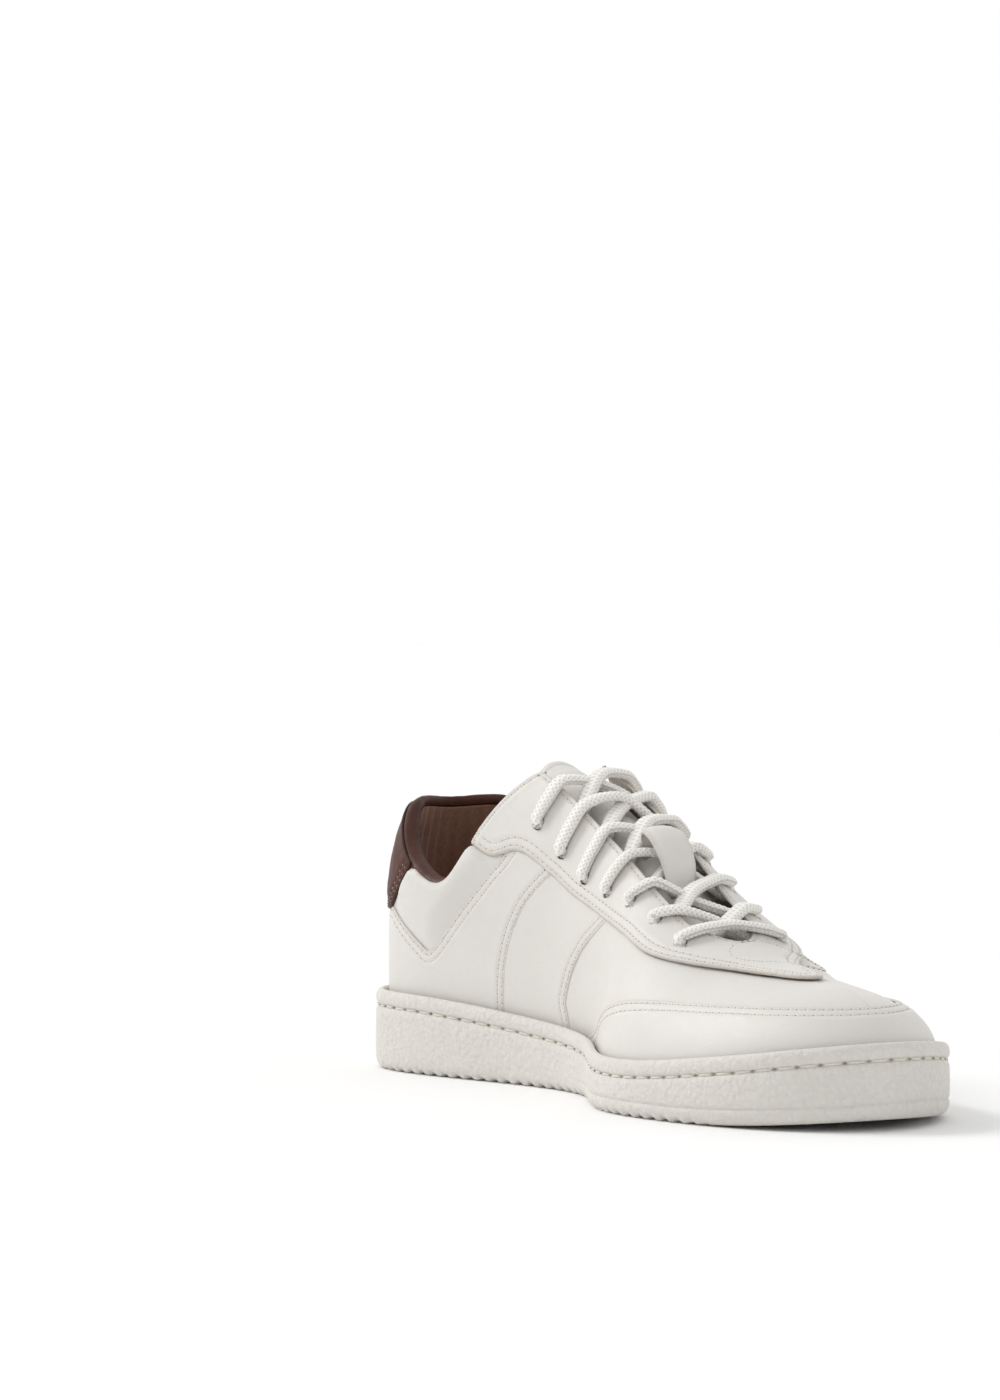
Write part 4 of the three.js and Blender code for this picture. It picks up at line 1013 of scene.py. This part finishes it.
def make_tongue(leather, lining, stuffing):
    us = spacing(0.435 * LENGTH, 0.5, 12, 1.6, start=True, end=False)
    vs = 2 * spacing(44, 0.5, 9, 1.4) - 1
    x, turn, angle = tongue_grid(us, vs)
    depth0 = np.broadcast_to(tongue_depth(x), turn.shape)
    base = upper(turn, angle, depth0)
    border = np.concatenate([base[0], base[:, 0], base[:, -1]])
    away = distance_to(base, border)
    plump = 1.0 * ease(away, 4.6, 12) + 0.35 * ease(away, 0, 2) * (1 - ease(away, 3.4, 4.4))
    room = 1 - 0.8 * ease(x, 95, 112)
    depth = depth0 + 0.5 + edge_profile(away, (4.0,), 0.9) - plump * room + 0.08 * noise(base, 12, 61)
    depth = depth - 2.0 * (1 - ease(x, 84, 102)) * (1 - vs[None] ** 2)
    outer = upper(turn, angle, depth)
    inner = upper(turn, angle, depth + 1.1)
    points, faces, used = sheet(outer, inner)
    # Painted shade: the colour darkens towards the tongue's edges, on both faces.
    put("tongue_leather", points, faces, leather, "white_leather", ["tongue_outer"], "tongue",
        np.concatenate([np.exp(-away.ravel() / 0.8)] * 2)[used])
    normals = grid_normals(outer)
    if np.dot(normals[40, 20], outer[40, 20] - inner[40, 20]) < 0:
        normals = -normals
    sew(tongue_line(away, outer), outer, normals, "tongue")
    for name, start, thick, material, slot, node in (
            ("tongue_padding", 1.4, 2.9, stuffing, "foam", "tongue_foam"),
            ("tongue_lining_leather", 4.6, 0.9, lining, "brown_lining", "tongue_lining")):
        shrink = 0.6 * np.exp(-away / 1.5)
        a = upper(turn, angle, depth0 + 0.5 + start - (0 if slot == "foam" else 5.0) * shrink)
        b = upper(turn, angle, depth0 + 0.5 + start + thick - (4.5 if slot == "foam" else 5.0) * shrink)
        points, faces, used = sheet(a, b)
        piece = put(name, points, faces, material, slot, [node], "tongue")


def tongue_line(away, outer):
    """The stitch line that follows the edge of the tongue over its top."""
    side = crossing_line(outer, away, 4.0)
    other = crossing_line(outer[:, ::-1], away[:, ::-1], 4.0)
    first = side[(side[:, 0] < 135)]
    last = other[(other[:, 0] < 135)]
    return np.concatenate([first[::-1], last]) if len(first) and len(last) else side


def make_keeper(leather):
    middle = (eyelet_station(3) + eyelet_station(4)) / 2
    start, reach, foot = middle - 8.5, 17.0, 2.5
    us = np.concatenate([np.linspace(-foot, -0.01, 8), np.linspace(0, reach, 60),
                         np.linspace(reach + 0.01, reach + foot, 8)])
    vs = 2 * spacing(16, 0.4, 3, 1.0) - 1
    x = (start + us)[:, None]
    rise = 12.6 * np.sin(math.pi * np.clip(us / reach, 0, 1)) ** 0.24
    half = 6.6 + 0 * x
    turn, angle = across(x, vs[None] * half)
    away = (1 - np.abs(vs))[None] * half
    depth = (tongue_depth(x) - 0.1 - rise[:, None]) - 1.0
    outer = upper(turn, angle, depth - 0.25 + edge_profile(away, (1.6,), 0.5))
    inner = upper(turn, angle, depth + 1.1)
    points, faces, used = sheet(outer, inner)
    # Painted shade: the colour darkens towards the keeper's long edges, on both faces.
    put("lace_keeper_leather", points, faces, leather, "white_leather", ["tongue_loop"], "tongue",
        np.concatenate([np.exp(-away.ravel() / 0.7)] * 2)[used])


# ---- lace ------------------------------------------------------------------------------------------
LACE_OVER, LACE_INSIDE, CROSS_OVER, CROSS_UNDER = -1.8, 4.0, 1.9, 4.9
KEEPER_ROW = 4
OVER_REACH, INSIDE_REACH, UPPER_TURN = THROAT_HALF - 0.8, THROAT_HALF - 1.5, EYELET_SPREAD - 3.5


def laced(x, distance, depth, wide=1.0):
    """A point of the lace with the outward direction there and its share of the full width."""
    return lace_point(*across(np.float64(x), np.float64(distance)), depth, wide)


def lace_point(turn, angle, depth, wide):
    outward = unit(upper(turn, angle, -2) - upper(turn, angle, 2))
    return np.concatenate([upper(turn, angle, depth), outward, [wide]])


def crossing(row, side, middle):
    """From under one eyelet, over the other edge of the throat and down the next eyelet up."""
    here, there = eyelet_station(row), eyelet_station(row - 1)
    gathered = 0.62 if row == KEEPER_ROW else 1.0
    return [
        laced(here, side * (EYELET_SPREAD - 0.6), LACE_INSIDE, 0.72),
        laced(mix(here, there, 0.15), side * INSIDE_REACH, LACE_INSIDE, gathered),
        laced((here + there) / 2, 0, middle, gathered),
        laced(mix(here, there, 0.74), -side * OVER_REACH, LACE_OVER + 0.2, mix(1, gathered, 0.4)),
        laced(mix(here, there, 0.88), -side * UPPER_TURN, LACE_OVER, 0.96),
        laced(there, -side * (EYELET_SPREAD - 0.2), LACE_OVER + 0.2, 0.8),
        laced(there, -side * EYELET_SPREAD, 0.6, 0.66),
    ]


def lace_half(side):
    bottom, top = eyelet_station(EYELETS - 1), eyelet_station(0)
    points = [
        laced(bottom, side * OVER_REACH, LACE_OVER),
        laced(bottom, side * UPPER_TURN, LACE_OVER, 0.9),
        laced(bottom, side * (EYELET_SPREAD - 0.2), LACE_OVER + 0.2, 0.74),
        laced(bottom, side * EYELET_SPREAD, 0.6, 0.66),
    ]
    start = side
    for row in range(EYELETS - 1, 0, -1):
        above = (row % 2 == 0) == (start > 0)
        points += crossing(row, start, CROSS_OVER if above else CROSS_UNDER)
        start = -start
    points += [
        laced(top - 1, start * (EYELET_SPREAD - 0.4), LACE_INSIDE, 0.72),
        laced(top - 12, start * (EYELET_SPREAD + 2), 5.0, 0.66),
    ]
    low = lambda x, height: board_top(x) + 5.4 + height
    tail = [(0.27, 88, 8), (0.27, 78, 8), (0.28, 60, 8), (0.3, 42, 7.8), (0.34, low(0.34 * LENGTH, 5), 9)]
    tail += [(f, low(f * LENGTH, 2.8), 11) for f in (0.39, 0.46, 0.53, 0.6)]
    for f, z, depth in tail:
        turn = turn_at(f * LENGTH, start)
        points.append(lace_point(turn, angle_at(turn, z), depth, 0.62))
    return points


def lace_path():
    outer, inner = lace_half(1), lace_half(-1)
    return np.array(inner[::-1] + [laced(eyelet_station(EYELETS - 1), 0, LACE_OVER)] + outer)


def smooth_path(path, step):
    """A Catmull-Rom curve through the path, with even steps."""
    p = path
    tangent = np.gradient(p, axis=0)
    chord = np.linalg.norm(np.diff(p[:, :3], axis=0), axis=1)
    scale = np.minimum(np.r_[chord[0], chord], np.r_[chord, chord[-1]])
    around = (np.r_[chord[0], chord] + np.r_[chord, chord[-1]]) / 2
    tangent = tangent * (scale / around)[:, None]
    out = []
    for k in range(len(p) - 1):
        u = np.linspace(0, 1, 24, endpoint=False)[:, None]
        out.append((2 * u**3 - 3 * u**2 + 1) * p[k] + (3 * u**2 - 2 * u**3) * p[k + 1]
                   + (u**3 - 2 * u**2 + u) * tangent[k] + (u**3 - u**2) * tangent[k + 1])
    out = np.concatenate(out + [p[-1:]])
    length = run_along(out[:, :3])
    places = np.linspace(0, length[-1], int(length[-1] / step))
    return np.stack([np.interp(places, length, out[:, k]) for k in range(out.shape[1])], -1), length[-1]


def make_lace(cotton, plastic):
    path, length = smooth_path(lace_path(), 0.45)
    centre, outward, share = path[:, :3], path[:, 3:6], path[:, 6]
    tangent = unit(np.gradient(centre, axis=0))
    lean = outward - (outward * tangent).sum(1)[:, None] * tangent
    kernel = np.hanning(19) / np.hanning(19).sum()
    lean = np.stack([np.convolve(np.pad(lean[:, k], 9, mode="edge"), kernel, "valid") for k in range(3)], -1)
    normal = unit(lean - (lean * tangent).sum(1)[:, None] * tangent)
    side = np.cross(tangent, normal)
    run = np.linspace(0, length, len(path))
    sides = 24
    a = np.arange(sides) * 2 * math.pi / sides
    wide = 3.3 * share
    thick = 1.68 - 0.7 * (1 - share)
    weave = 0.17 * np.sin(2 * math.pi * run[:, None] / 3.4 + 3 * a[None]) * np.sin(
        2 * math.pi * run[:, None] / 3.4 - 3 * a[None])
    weave += 0.09 * noise(np.stack([run[:, None] + 0 * a, np.cos(a)[None] * 2 + 0 * run[:, None],
                                    np.sin(a)[None] * 2 + 0 * run[:, None]], -1), 3.1, 71)
    c, s = np.cos(a)[None], np.sin(a)[None]
    across_lace = np.sign(c) * np.abs(c) ** 0.8 * (wide[:, None] + weave)
    up_lace = np.sign(s) * np.abs(s) ** 0.8 * (thick[:, None] + weave)
    rings = centre[:, None] + across_lace[..., None] * side[:, None] + up_lace[..., None] * normal[:, None]
    points, faces, count = rings_mesh(rings)
    last = (len(rings) - 1) * count
    caps = cap(0, count) + cap(last, count, turned=True)
    uvs = np.stack([np.repeat(run, sides) / 10, np.tile(a, len(run)) / (2 * math.pi)], -1)
    put("lace_cotton", points, faces + caps, cotton, "cream_textile", ["lace"], uvs=uvs)
    for name, end, before in (("medial", centre[0], centre[6]), ("lateral", centre[-1], centre[-7])):
        heading = unit((end - before) * (1, 1, 0))
        make_aglet(f"{name}_aglet_tip", end, heading, plastic, f"{name}_aglet")
    return length


def make_aglet(name, end, heading, plastic, node):
    up = np.array([0, 0, 1.0])
    side = np.cross(heading, up)
    a = np.arange(20) * 2 * math.pi / 20
    loops = []
    for s, r in ((-0.6, 1.1), (-0.6, 1.45), (0.3, 1.5), (1, 1.42), (14, 1.36), (18, 1.3), (19.4, 1.1),
                 (19.9, 0.6)):
        loops.append(end + heading * (s + 0.3) + r * (np.cos(a)[:, None] * side + np.sin(a)[:, None] * up))
    points, faces, count = rings_mesh(loops)
    last = (len(loops) - 1) * count
    put(name, points, faces + [list(range(count))[::-1], list(range(last, last + count))], plastic,
              "clear_plastic", [node])


# ---- hidden layers ---------------------------------------------------------------------------------
def make_hidden(cloth, stuffing):
    turns = mouth_turns(0.23 * LENGTH, 2.5)
    x = station(turns)
    z = mix(58.0, (topline(x) - 4.4)[:, None], np.linspace(0, 1, 14)[None])
    turn = np.broadcast_to(turns[:, None], z.shape)
    inner = upper_level(turn, z, pad_depth(x[:, None], z) - 1.3)
    points, faces, _ = sheet(upper_level(turn, z, 3.1), inner)
    put("collar_padding", points, faces, stuffing, "foam", ["collar_foam"])
    depth = 9.8
    edge = inset(EDGE_TURNS, depth)
    x = mix(edge[:, 0].min() + 0.1, edge[:, 0].max() - 0.1, rounded_steps(90))
    low, high = tread_span(x, depth)
    y = mix(low[:, None], high[:, None], np.linspace(0, 1, 24)[None])
    level = lambda height: level_grid(x, y, (board_top(x) + height)[:, None])
    points, faces, _ = sheet(level(3.7), level(0.4))
    put("footbed_padding", points, faces, stuffing, "foam", ["footbed_foam"])
    u, around = np.linspace(0, 1, 90)[:, None], np.linspace(-1, 1, 90)[None]
    back = np.maximum(vamp_start(around), 0.38 * LENGTH)
    x = mix(back, STATIONS[TOE], mix(u, (1 - np.cos(math.pi * u)) / 2, u))
    turn, angle = place_round(x, around + 0 * u)
    turn[-1] = TOE_TURN
    angle = np.where(np.abs(around + 0 * u) > 0.999, angle_at(turn, board_top(station(turn)) + 1), angle)
    wavy = 4.4 + 0.1 * noise(upper(turn, angle, 4.4), 18, 81)
    points, faces, _ = sheet(upper(turn, angle, wavy), upper(turn, angle, wavy + 0.7))
    put("vamp_lining_cloth", points, faces, cloth, "cream_textile", ["vamp_lining"])


# ---- materials -------------------------------------------------------------------------------------
class Graph:
    """A material's nodes, built from short calls."""

    def __init__(self, name, roughness, sheen=0.0, coat=0.0, subsurface=0.0, specular=0.5):
        self.material = bpy.data.materials.new(name)
        self.material.use_nodes = True
        self.tree = self.material.node_tree
        self.shader = self.tree.nodes["Principled BSDF"]
        self.shader.inputs["Roughness"].default_value = roughness
        self.shader.inputs["Sheen Weight"].default_value = sheen
        self.shader.inputs["Sheen Roughness"].default_value = 0.5
        self.shader.inputs["Coat Weight"].default_value = coat
        self.shader.inputs["Coat Roughness"].default_value = 0.35
        self.shader.inputs["Specular IOR Level"].default_value = specular
        if subsurface:
            self.shader.inputs["Subsurface Weight"].default_value = subsurface
            self.shader.inputs["Subsurface Radius"].default_value = (0.003, 0.002, 0.0015)
            self.shader.inputs["Subsurface Scale"].default_value = 0.4
        self.place = self.node("ShaderNodeTexCoord").outputs["Object"]
        self.normal = None

    def node(self, kind, **settings):
        made = self.tree.nodes.new(kind)
        for key, value in settings.items():
            setattr(made, key, value)
        return made

    def link(self, source, target):
        self.tree.links.new(source, target)

    def noise(self, size, detail=2.0, where=None, rough=0.5):
        made = self.node("ShaderNodeTexNoise")
        made.inputs["Scale"].default_value = 1000 / size
        made.inputs["Detail"].default_value = detail
        made.inputs["Roughness"].default_value = rough
        self.link(where or self.place, made.inputs["Vector"])
        return made.outputs["Fac"]

    def cells(self, size, feature="F1", smooth=0.35):
        made = self.node("ShaderNodeTexVoronoi", feature=feature)
        made.inputs["Scale"].default_value = 1000 / size
        if feature == "SMOOTH_F1":
            made.inputs["Smoothness"].default_value = smooth
        self.link(self.place, made.inputs["Vector"])
        return made.outputs["Distance"]

    def remap(self, value, low, high, to_low=0.0, to_high=1.0):
        made = self.node("ShaderNodeMapRange", clamp=True)
        self.link(value, made.inputs["Value"])
        for key, number in (("From Min", low), ("From Max", high), ("To Min", to_low), ("To Max", to_high)):
            made.inputs[key].default_value = number
        return made.outputs["Result"]

    def math(self, operation, a, b):
        made = self.node("ShaderNodeMath", operation=operation)
        for socket, value in zip(made.inputs, (a, b)):
            if isinstance(value, (int, float)):
                socket.default_value = value
            else:
                self.link(value, socket)
        return made.outputs["Value"]

    def blend(self, share, a, b):
        made = self.node("ShaderNodeMix", data_type="RGBA")
        self.link(share, made.inputs["Factor"])
        for key, value in ((6, a), (7, b)):
            if isinstance(value, tuple):
                made.inputs[key].default_value = (*value, 1)
            else:
                self.link(value, made.inputs[key])
        return made.outputs[2]

    def attribute(self, name):
        return self.node("ShaderNodeAttribute", attribute_name=name, attribute_type="GEOMETRY").outputs["Fac"]

    def bump(self, height, millimetres, strength=1.0):
        made = self.node("ShaderNodeBump")
        made.inputs["Distance"].default_value = millimetres / 1000
        made.inputs["Strength"].default_value = strength
        self.link(height, made.inputs["Height"])
        if self.normal is not None:
            self.link(self.normal, made.inputs["Normal"])
        self.normal = made.outputs["Normal"]

    def done(self, colour, roughness=None):
        self.link(colour, self.shader.inputs["Base Color"])
        if roughness is not None:
            self.link(roughness, self.shader.inputs["Roughness"])
        if self.normal is not None:
            self.link(self.normal, self.shader.inputs["Normal"])
        return self.material


def white_leather():
    g = Graph("white_leather", 0.5, subsurface=0.08, specular=0.42)
    grain = g.cells(1.05, "SMOOTH_F1")
    broad = g.noise(34, 3)
    fine = g.noise(3.2, 4, rough=0.6)
    g.bump(g.noise(9, 3, rough=0.55), 0.22, 0.5)
    g.bump(grain, 0.07, 0.55)
    g.bump(g.noise(0.45, 2), 0.03, 0.5)
    colour = g.blend(g.remap(broad, 0.3, 0.7), (0.70, 0.68, 0.645), (0.735, 0.715, 0.68))
    colour = g.blend(g.remap(fine, 0.35, 0.75, 0, 0.25), colour, (0.68, 0.65, 0.605))
    # Painted shade: the attribute set on each panel darkens and browns the colour at cut edges and on
    # undersides; it also raises the roughness there.
    shaded_edge = g.math("MULTIPLY", g.attribute("edge_shade"), g.remap(fine, 0.25, 0.7, 0.35, 1.0))
    colour = g.blend(shaded_edge, colour, (0.50, 0.46, 0.40))
    rough = g.math("ADD", g.remap(fine, 0.3, 0.7, 0.43, 0.56), g.math("MULTIPLY", shaded_edge, 0.2))
    return g.done(colour, rough)


def brown_leather():
    g = Graph("brown_leather", 0.5, specular=0.35)
    grain = g.cells(1.3, "SMOOTH_F1")
    broad = g.noise(16, 4)
    fine = g.noise(2.2, 4, rough=0.65)
    g.bump(g.noise(6, 3), 0.25, 0.6)
    g.bump(grain, 0.12, 0.7)
    colour = g.blend(g.remap(broad, 0.3, 0.7), (0.050, 0.0125, 0.006), (0.085, 0.024, 0.012))
    colour = g.blend(g.remap(fine, 0.5, 0.8, 0, 0.5), colour, (0.13, 0.042, 0.022))
    # Painted shade: the attribute set on each panel darkens the colour at cut edges and on the underside.
    shaded_edge = g.math("MULTIPLY", g.attribute("edge_shade"), g.remap(fine, 0.25, 0.7, 0.2, 0.9))
    colour = g.blend(shaded_edge, colour, (0.028, 0.010, 0.006))
    return g.done(colour, g.remap(fine, 0.3, 0.7, 0.42, 0.62))


def brown_lining():
    g = Graph("brown_lining", 0.7, sheen=0.25, specular=0.25)
    broad = g.noise(20, 4)
    fine = g.noise(1.1, 3, rough=0.7)
    g.bump(g.noise(4, 3), 0.2, 0.5)
    g.bump(fine, 0.06, 0.6)
    colour = g.blend(g.remap(broad, 0.3, 0.7), (0.20, 0.095, 0.058), (0.28, 0.145, 0.095))
    colour = g.blend(g.remap(fine, 0.4, 0.7, 0, 0.5), colour, (0.15, 0.068, 0.042))
    return g.done(colour, g.remap(fine, 0.3, 0.7, 0.62, 0.82))


def rubber(name, light, dark, pebble):
    g = Graph(name, 0.6, subsurface=0.06, specular=0.4)
    lumps = g.cells(1.9, "SMOOTH_F1", 0.6)
    broad = g.noise(30, 3)
    g.bump(g.noise(1.9, 3, rough=0.6), 0.8 * pebble, 0.8)
    g.bump(lumps, 0.4 * pebble, 0.8)
    g.bump(g.noise(0.5, 2), 0.07, 0.6)
    colour = g.blend(g.remap(broad, 0.3, 0.7), light, dark)
    colour = g.blend(g.remap(lumps, 0.25, 0.6, 0, 0.25), colour, tuple(0.86 * c for c in dark))
    return g.done(colour, g.remap(lumps, 0.2, 0.6, 0.5, 0.66))


def cotton():
    g = Graph("cream_cotton", 0.92, sheen=0.35, specular=0.15)
    weave = g.node("ShaderNodeUVMap", uv_map="weave").outputs["UV"]
    parts = g.node("ShaderNodeSeparateXYZ")
    g.link(weave, parts.inputs["Vector"])
    run, turn = parts.outputs["X"], parts.outputs["Y"]

    def strands(sign):
        phase = g.math("ADD", g.math("MULTIPLY", run, math.pi * 10 / 1.7),
                       g.math("MULTIPLY", turn, sign * math.pi * 6))
        return g.math("ABSOLUTE", g.math("SINE", phase, 0.0), 0.0)

    braid = g.math("MAXIMUM", strands(1), strands(-1))
    fuzz = g.noise(0.35, 3, rough=0.7)
    g.bump(braid, 0.24, 0.8)
    g.bump(fuzz, 0.04, 0.6)
    # Painted shade: the colour darkens in the grooves between the braid's strands.
    colour = g.blend(g.remap(braid, 0.45, 1.0), (0.70, 0.67, 0.61), (0.92, 0.905, 0.87))
    colour = g.blend(g.remap(g.noise(14, 2), 0.35, 0.7, 0, 0.2), colour, (0.78, 0.75, 0.69))
    return g.done(colour)


def cloth(name, light, dark, pitch=0.7):
    g = Graph(name, 0.9, sheen=0.2, specular=0.15)
    threads = g.math("MULTIPLY", wave(g, pitch, "X"), wave(g, pitch, "Z"))
    fuzz = g.noise(0.6, 3)
    g.bump(threads, 0.12, 0.8)
    g.bump(fuzz, 0.05, 0.5)
    # Painted shade: the colour darkens in the gaps between the threads.
    colour = g.blend(threads, dark, light)
    return g.done(g.blend(g.remap(fuzz, 0.4, 0.7, 0, 0.3), colour, dark))


def wave(g, pitch, direction):
    made = g.node("ShaderNodeTexWave", bands_direction=direction)
    made.inputs["Scale"].default_value = 1000 / pitch / 20 * 6.2832 / 2
    made.inputs["Distortion"].default_value = 0.6
    g.link(g.place, made.inputs["Vector"])
    return made.outputs["Fac"]


def plain(name, light, dark, roughness, size, coat=0.0, depth=0.05):
    g = Graph(name, roughness, coat=coat)
    speck = g.noise(size, 3, rough=0.65)
    g.bump(speck, depth, 0.7)
    return g.done(g.blend(g.remap(speck, 0.35, 0.65), light, dark))


# ---- stage -----------------------------------------------------------------------------------------
def make_camera():
    turn, tilt = math.radians(58.17), math.radians(0.95)
    back = Vector((math.sin(turn) * math.cos(tilt), -math.cos(turn) * math.cos(tilt), math.sin(tilt)))
    right = Vector((math.cos(turn), math.sin(turn), 0))
    up = back.cross(right)
    eye = Vector((LENGTH / 2, 0, 40)) - 51.23 * right + 92.0 * up + 1666.6 * back + Vector(SHIFT)
    data = bpy.data.cameras.new("camera")
    data.lens, data.sensor_width, data.sensor_fit = 127.11, 36, "AUTO"
    data.clip_start, data.clip_end = 0.05, 30
    camera = bpy.data.objects.new("camera", data)
    bpy.context.scene.collection.objects.link(camera)
    facing = Matrix((right, up, back)).transposed().to_4x4()
    camera.matrix_world = Matrix.Translation(eye / 1000) @ facing
    bpy.context.scene.camera = camera


def add_lamp(name, kind, where, power, size, colour):
    """A soft lamp turned to the shoe. size is a width in metres, or an angle in degrees for a sun."""
    data = bpy.data.lights.new(name, kind)
    data.energy, data.color = power, colour
    if kind == "SUN":
        data.angle = math.radians(size)
    else:
        data.shape, data.size = "DISK", size
    lamp = bpy.data.objects.new(name, data)
    bpy.context.scene.collection.objects.link(lamp)
    lamp.location = where
    lamp.rotation_euler = (Vector((0, 0, 0.04)) - Vector(where)).to_track_quat("-Z", "Y").to_euler()


def make_stage():
    g = Graph("paper", 0.9, specular=0.1)
    paper = g.done(g.blend(g.remap(g.noise(400, 2), 0.4, 0.6), (0.93, 0.93, 0.93), (0.95, 0.95, 0.95)))
    mesh = bpy.data.meshes.new("floor")
    n = 25
    mesh.from_pydata([(-n, -n, 0), (n, -n, 0), (n, n, 0), (-n, n, 0)], [], [(0, 1, 2, 3)])
    mesh.materials.append(paper)
    floor = bpy.data.objects.new("floor", mesh)
    bpy.context.scene.collection.objects.link(floor)
    world = bpy.data.worlds.new("studio")
    world.use_nodes = True
    tree = world.node_tree
    sky = tree.nodes["Background"]
    place = tree.nodes.new("ShaderNodeTexCoord")
    facing = tree.nodes.new("ShaderNodeVectorMath")
    facing.operation = "DOT_PRODUCT"
    facing.inputs[1].default_value = (-0.85, 0.53, 0.0)
    share = tree.nodes.new("ShaderNodeMapRange")
    for key, number in (("From Min", -0.6), ("From Max", 0.8), ("To Min", 0.66), ("To Max", 1.0)):
        share.inputs[key].default_value = number
    tree.links.new(place.outputs["Generated"], facing.inputs[0])
    tree.links.new(facing.outputs["Value"], share.inputs["Value"])
    tree.links.new(share.outputs["Result"], sky.inputs["Strength"])
    sky.inputs["Color"].default_value = (1.0, 1.0, 1.0, 1)
    bpy.context.scene.world = world
    add_lamp("key", "SUN", (-1.35, -1.15, 1.75), 1.25, 28, (1.0, 0.985, 0.965))
    add_lamp("fill", "AREA", (1.9, -1.2, 1.1), 1.5, 1.6, (0.97, 0.985, 1.0))
    bpy.context.scene.view_settings.view_transform = "Standard"


# ---- the shoe --------------------------------------------------------------------------------------
def make_shoe():
    leather, brown, lining = white_leather(), brown_leather(), brown_lining()
    wall = rubber("white_rubber", (0.73, 0.705, 0.665), (0.70, 0.675, 0.63), 1.0)
    tread = rubber("tread_rubber", (0.72, 0.695, 0.64), (0.68, 0.65, 0.595), 0.4)
    thread = plain("cream_thread", (0.80, 0.77, 0.70), (0.66, 0.62, 0.54), 0.8, 0.4)
    # Painted shade: the dark colour of the needle holes and sole slots between stitches.
    dark = plain("stitch_hole_shade", (0.30, 0.25, 0.20), (0.42, 0.36, 0.29), 0.9, 1.5)
    foam = plain("foam", (0.70, 0.62, 0.42), (0.58, 0.50, 0.33), 0.9, 0.8, depth=0.2)
    board = plain("fibreboard", (0.60, 0.52, 0.38), (0.48, 0.41, 0.30), 0.85, 1.2, depth=0.1)
    cream = cloth("cream_cloth", (0.78, 0.75, 0.68), (0.58, 0.54, 0.46))
    lace = cotton()
    plastic = plain("clear_plastic", (0.80, 0.78, 0.72), (0.72, 0.70, 0.63), 0.25, 6, coat=0.5, depth=0.02)
    for node, material in (("midsole_filler", foam), ("strobel_board", board), ("heel_counter", board),
                           ("toe_puff", board)):
        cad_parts[node].material_slots[0].material = material
    length = make_lace(lace, plastic)
    make_cupsole(wall)
    make_tread(tread)
    sole_stitches(thread, dark)
    for name, side in (("medial", -1), ("lateral", 1)):
        make_quarter(name, side, leather)
        make_stripe(name, side, leather)
        make_collar_panel(name, side, leather)
    make_vamp(leather)
    make_toe_overlay(leather)
    make_heel_tab(brown)
    make_eyestay(leather)
    make_collar_roll(brown)
    make_quarter_lining(lining)
    make_footbed(lining)
    make_hidden(cream, foam)
    make_tongue(leather, lining, foam)
    make_keeper(leather)
    make_threads(thread, plain("brown_thread", (0.09, 0.03, 0.017), (0.05, 0.017, 0.01), 0.8, 0.4), dark)
    print(f"lace length {length:.0f} mm")


make_camera()
make_stage()
make_shoe()
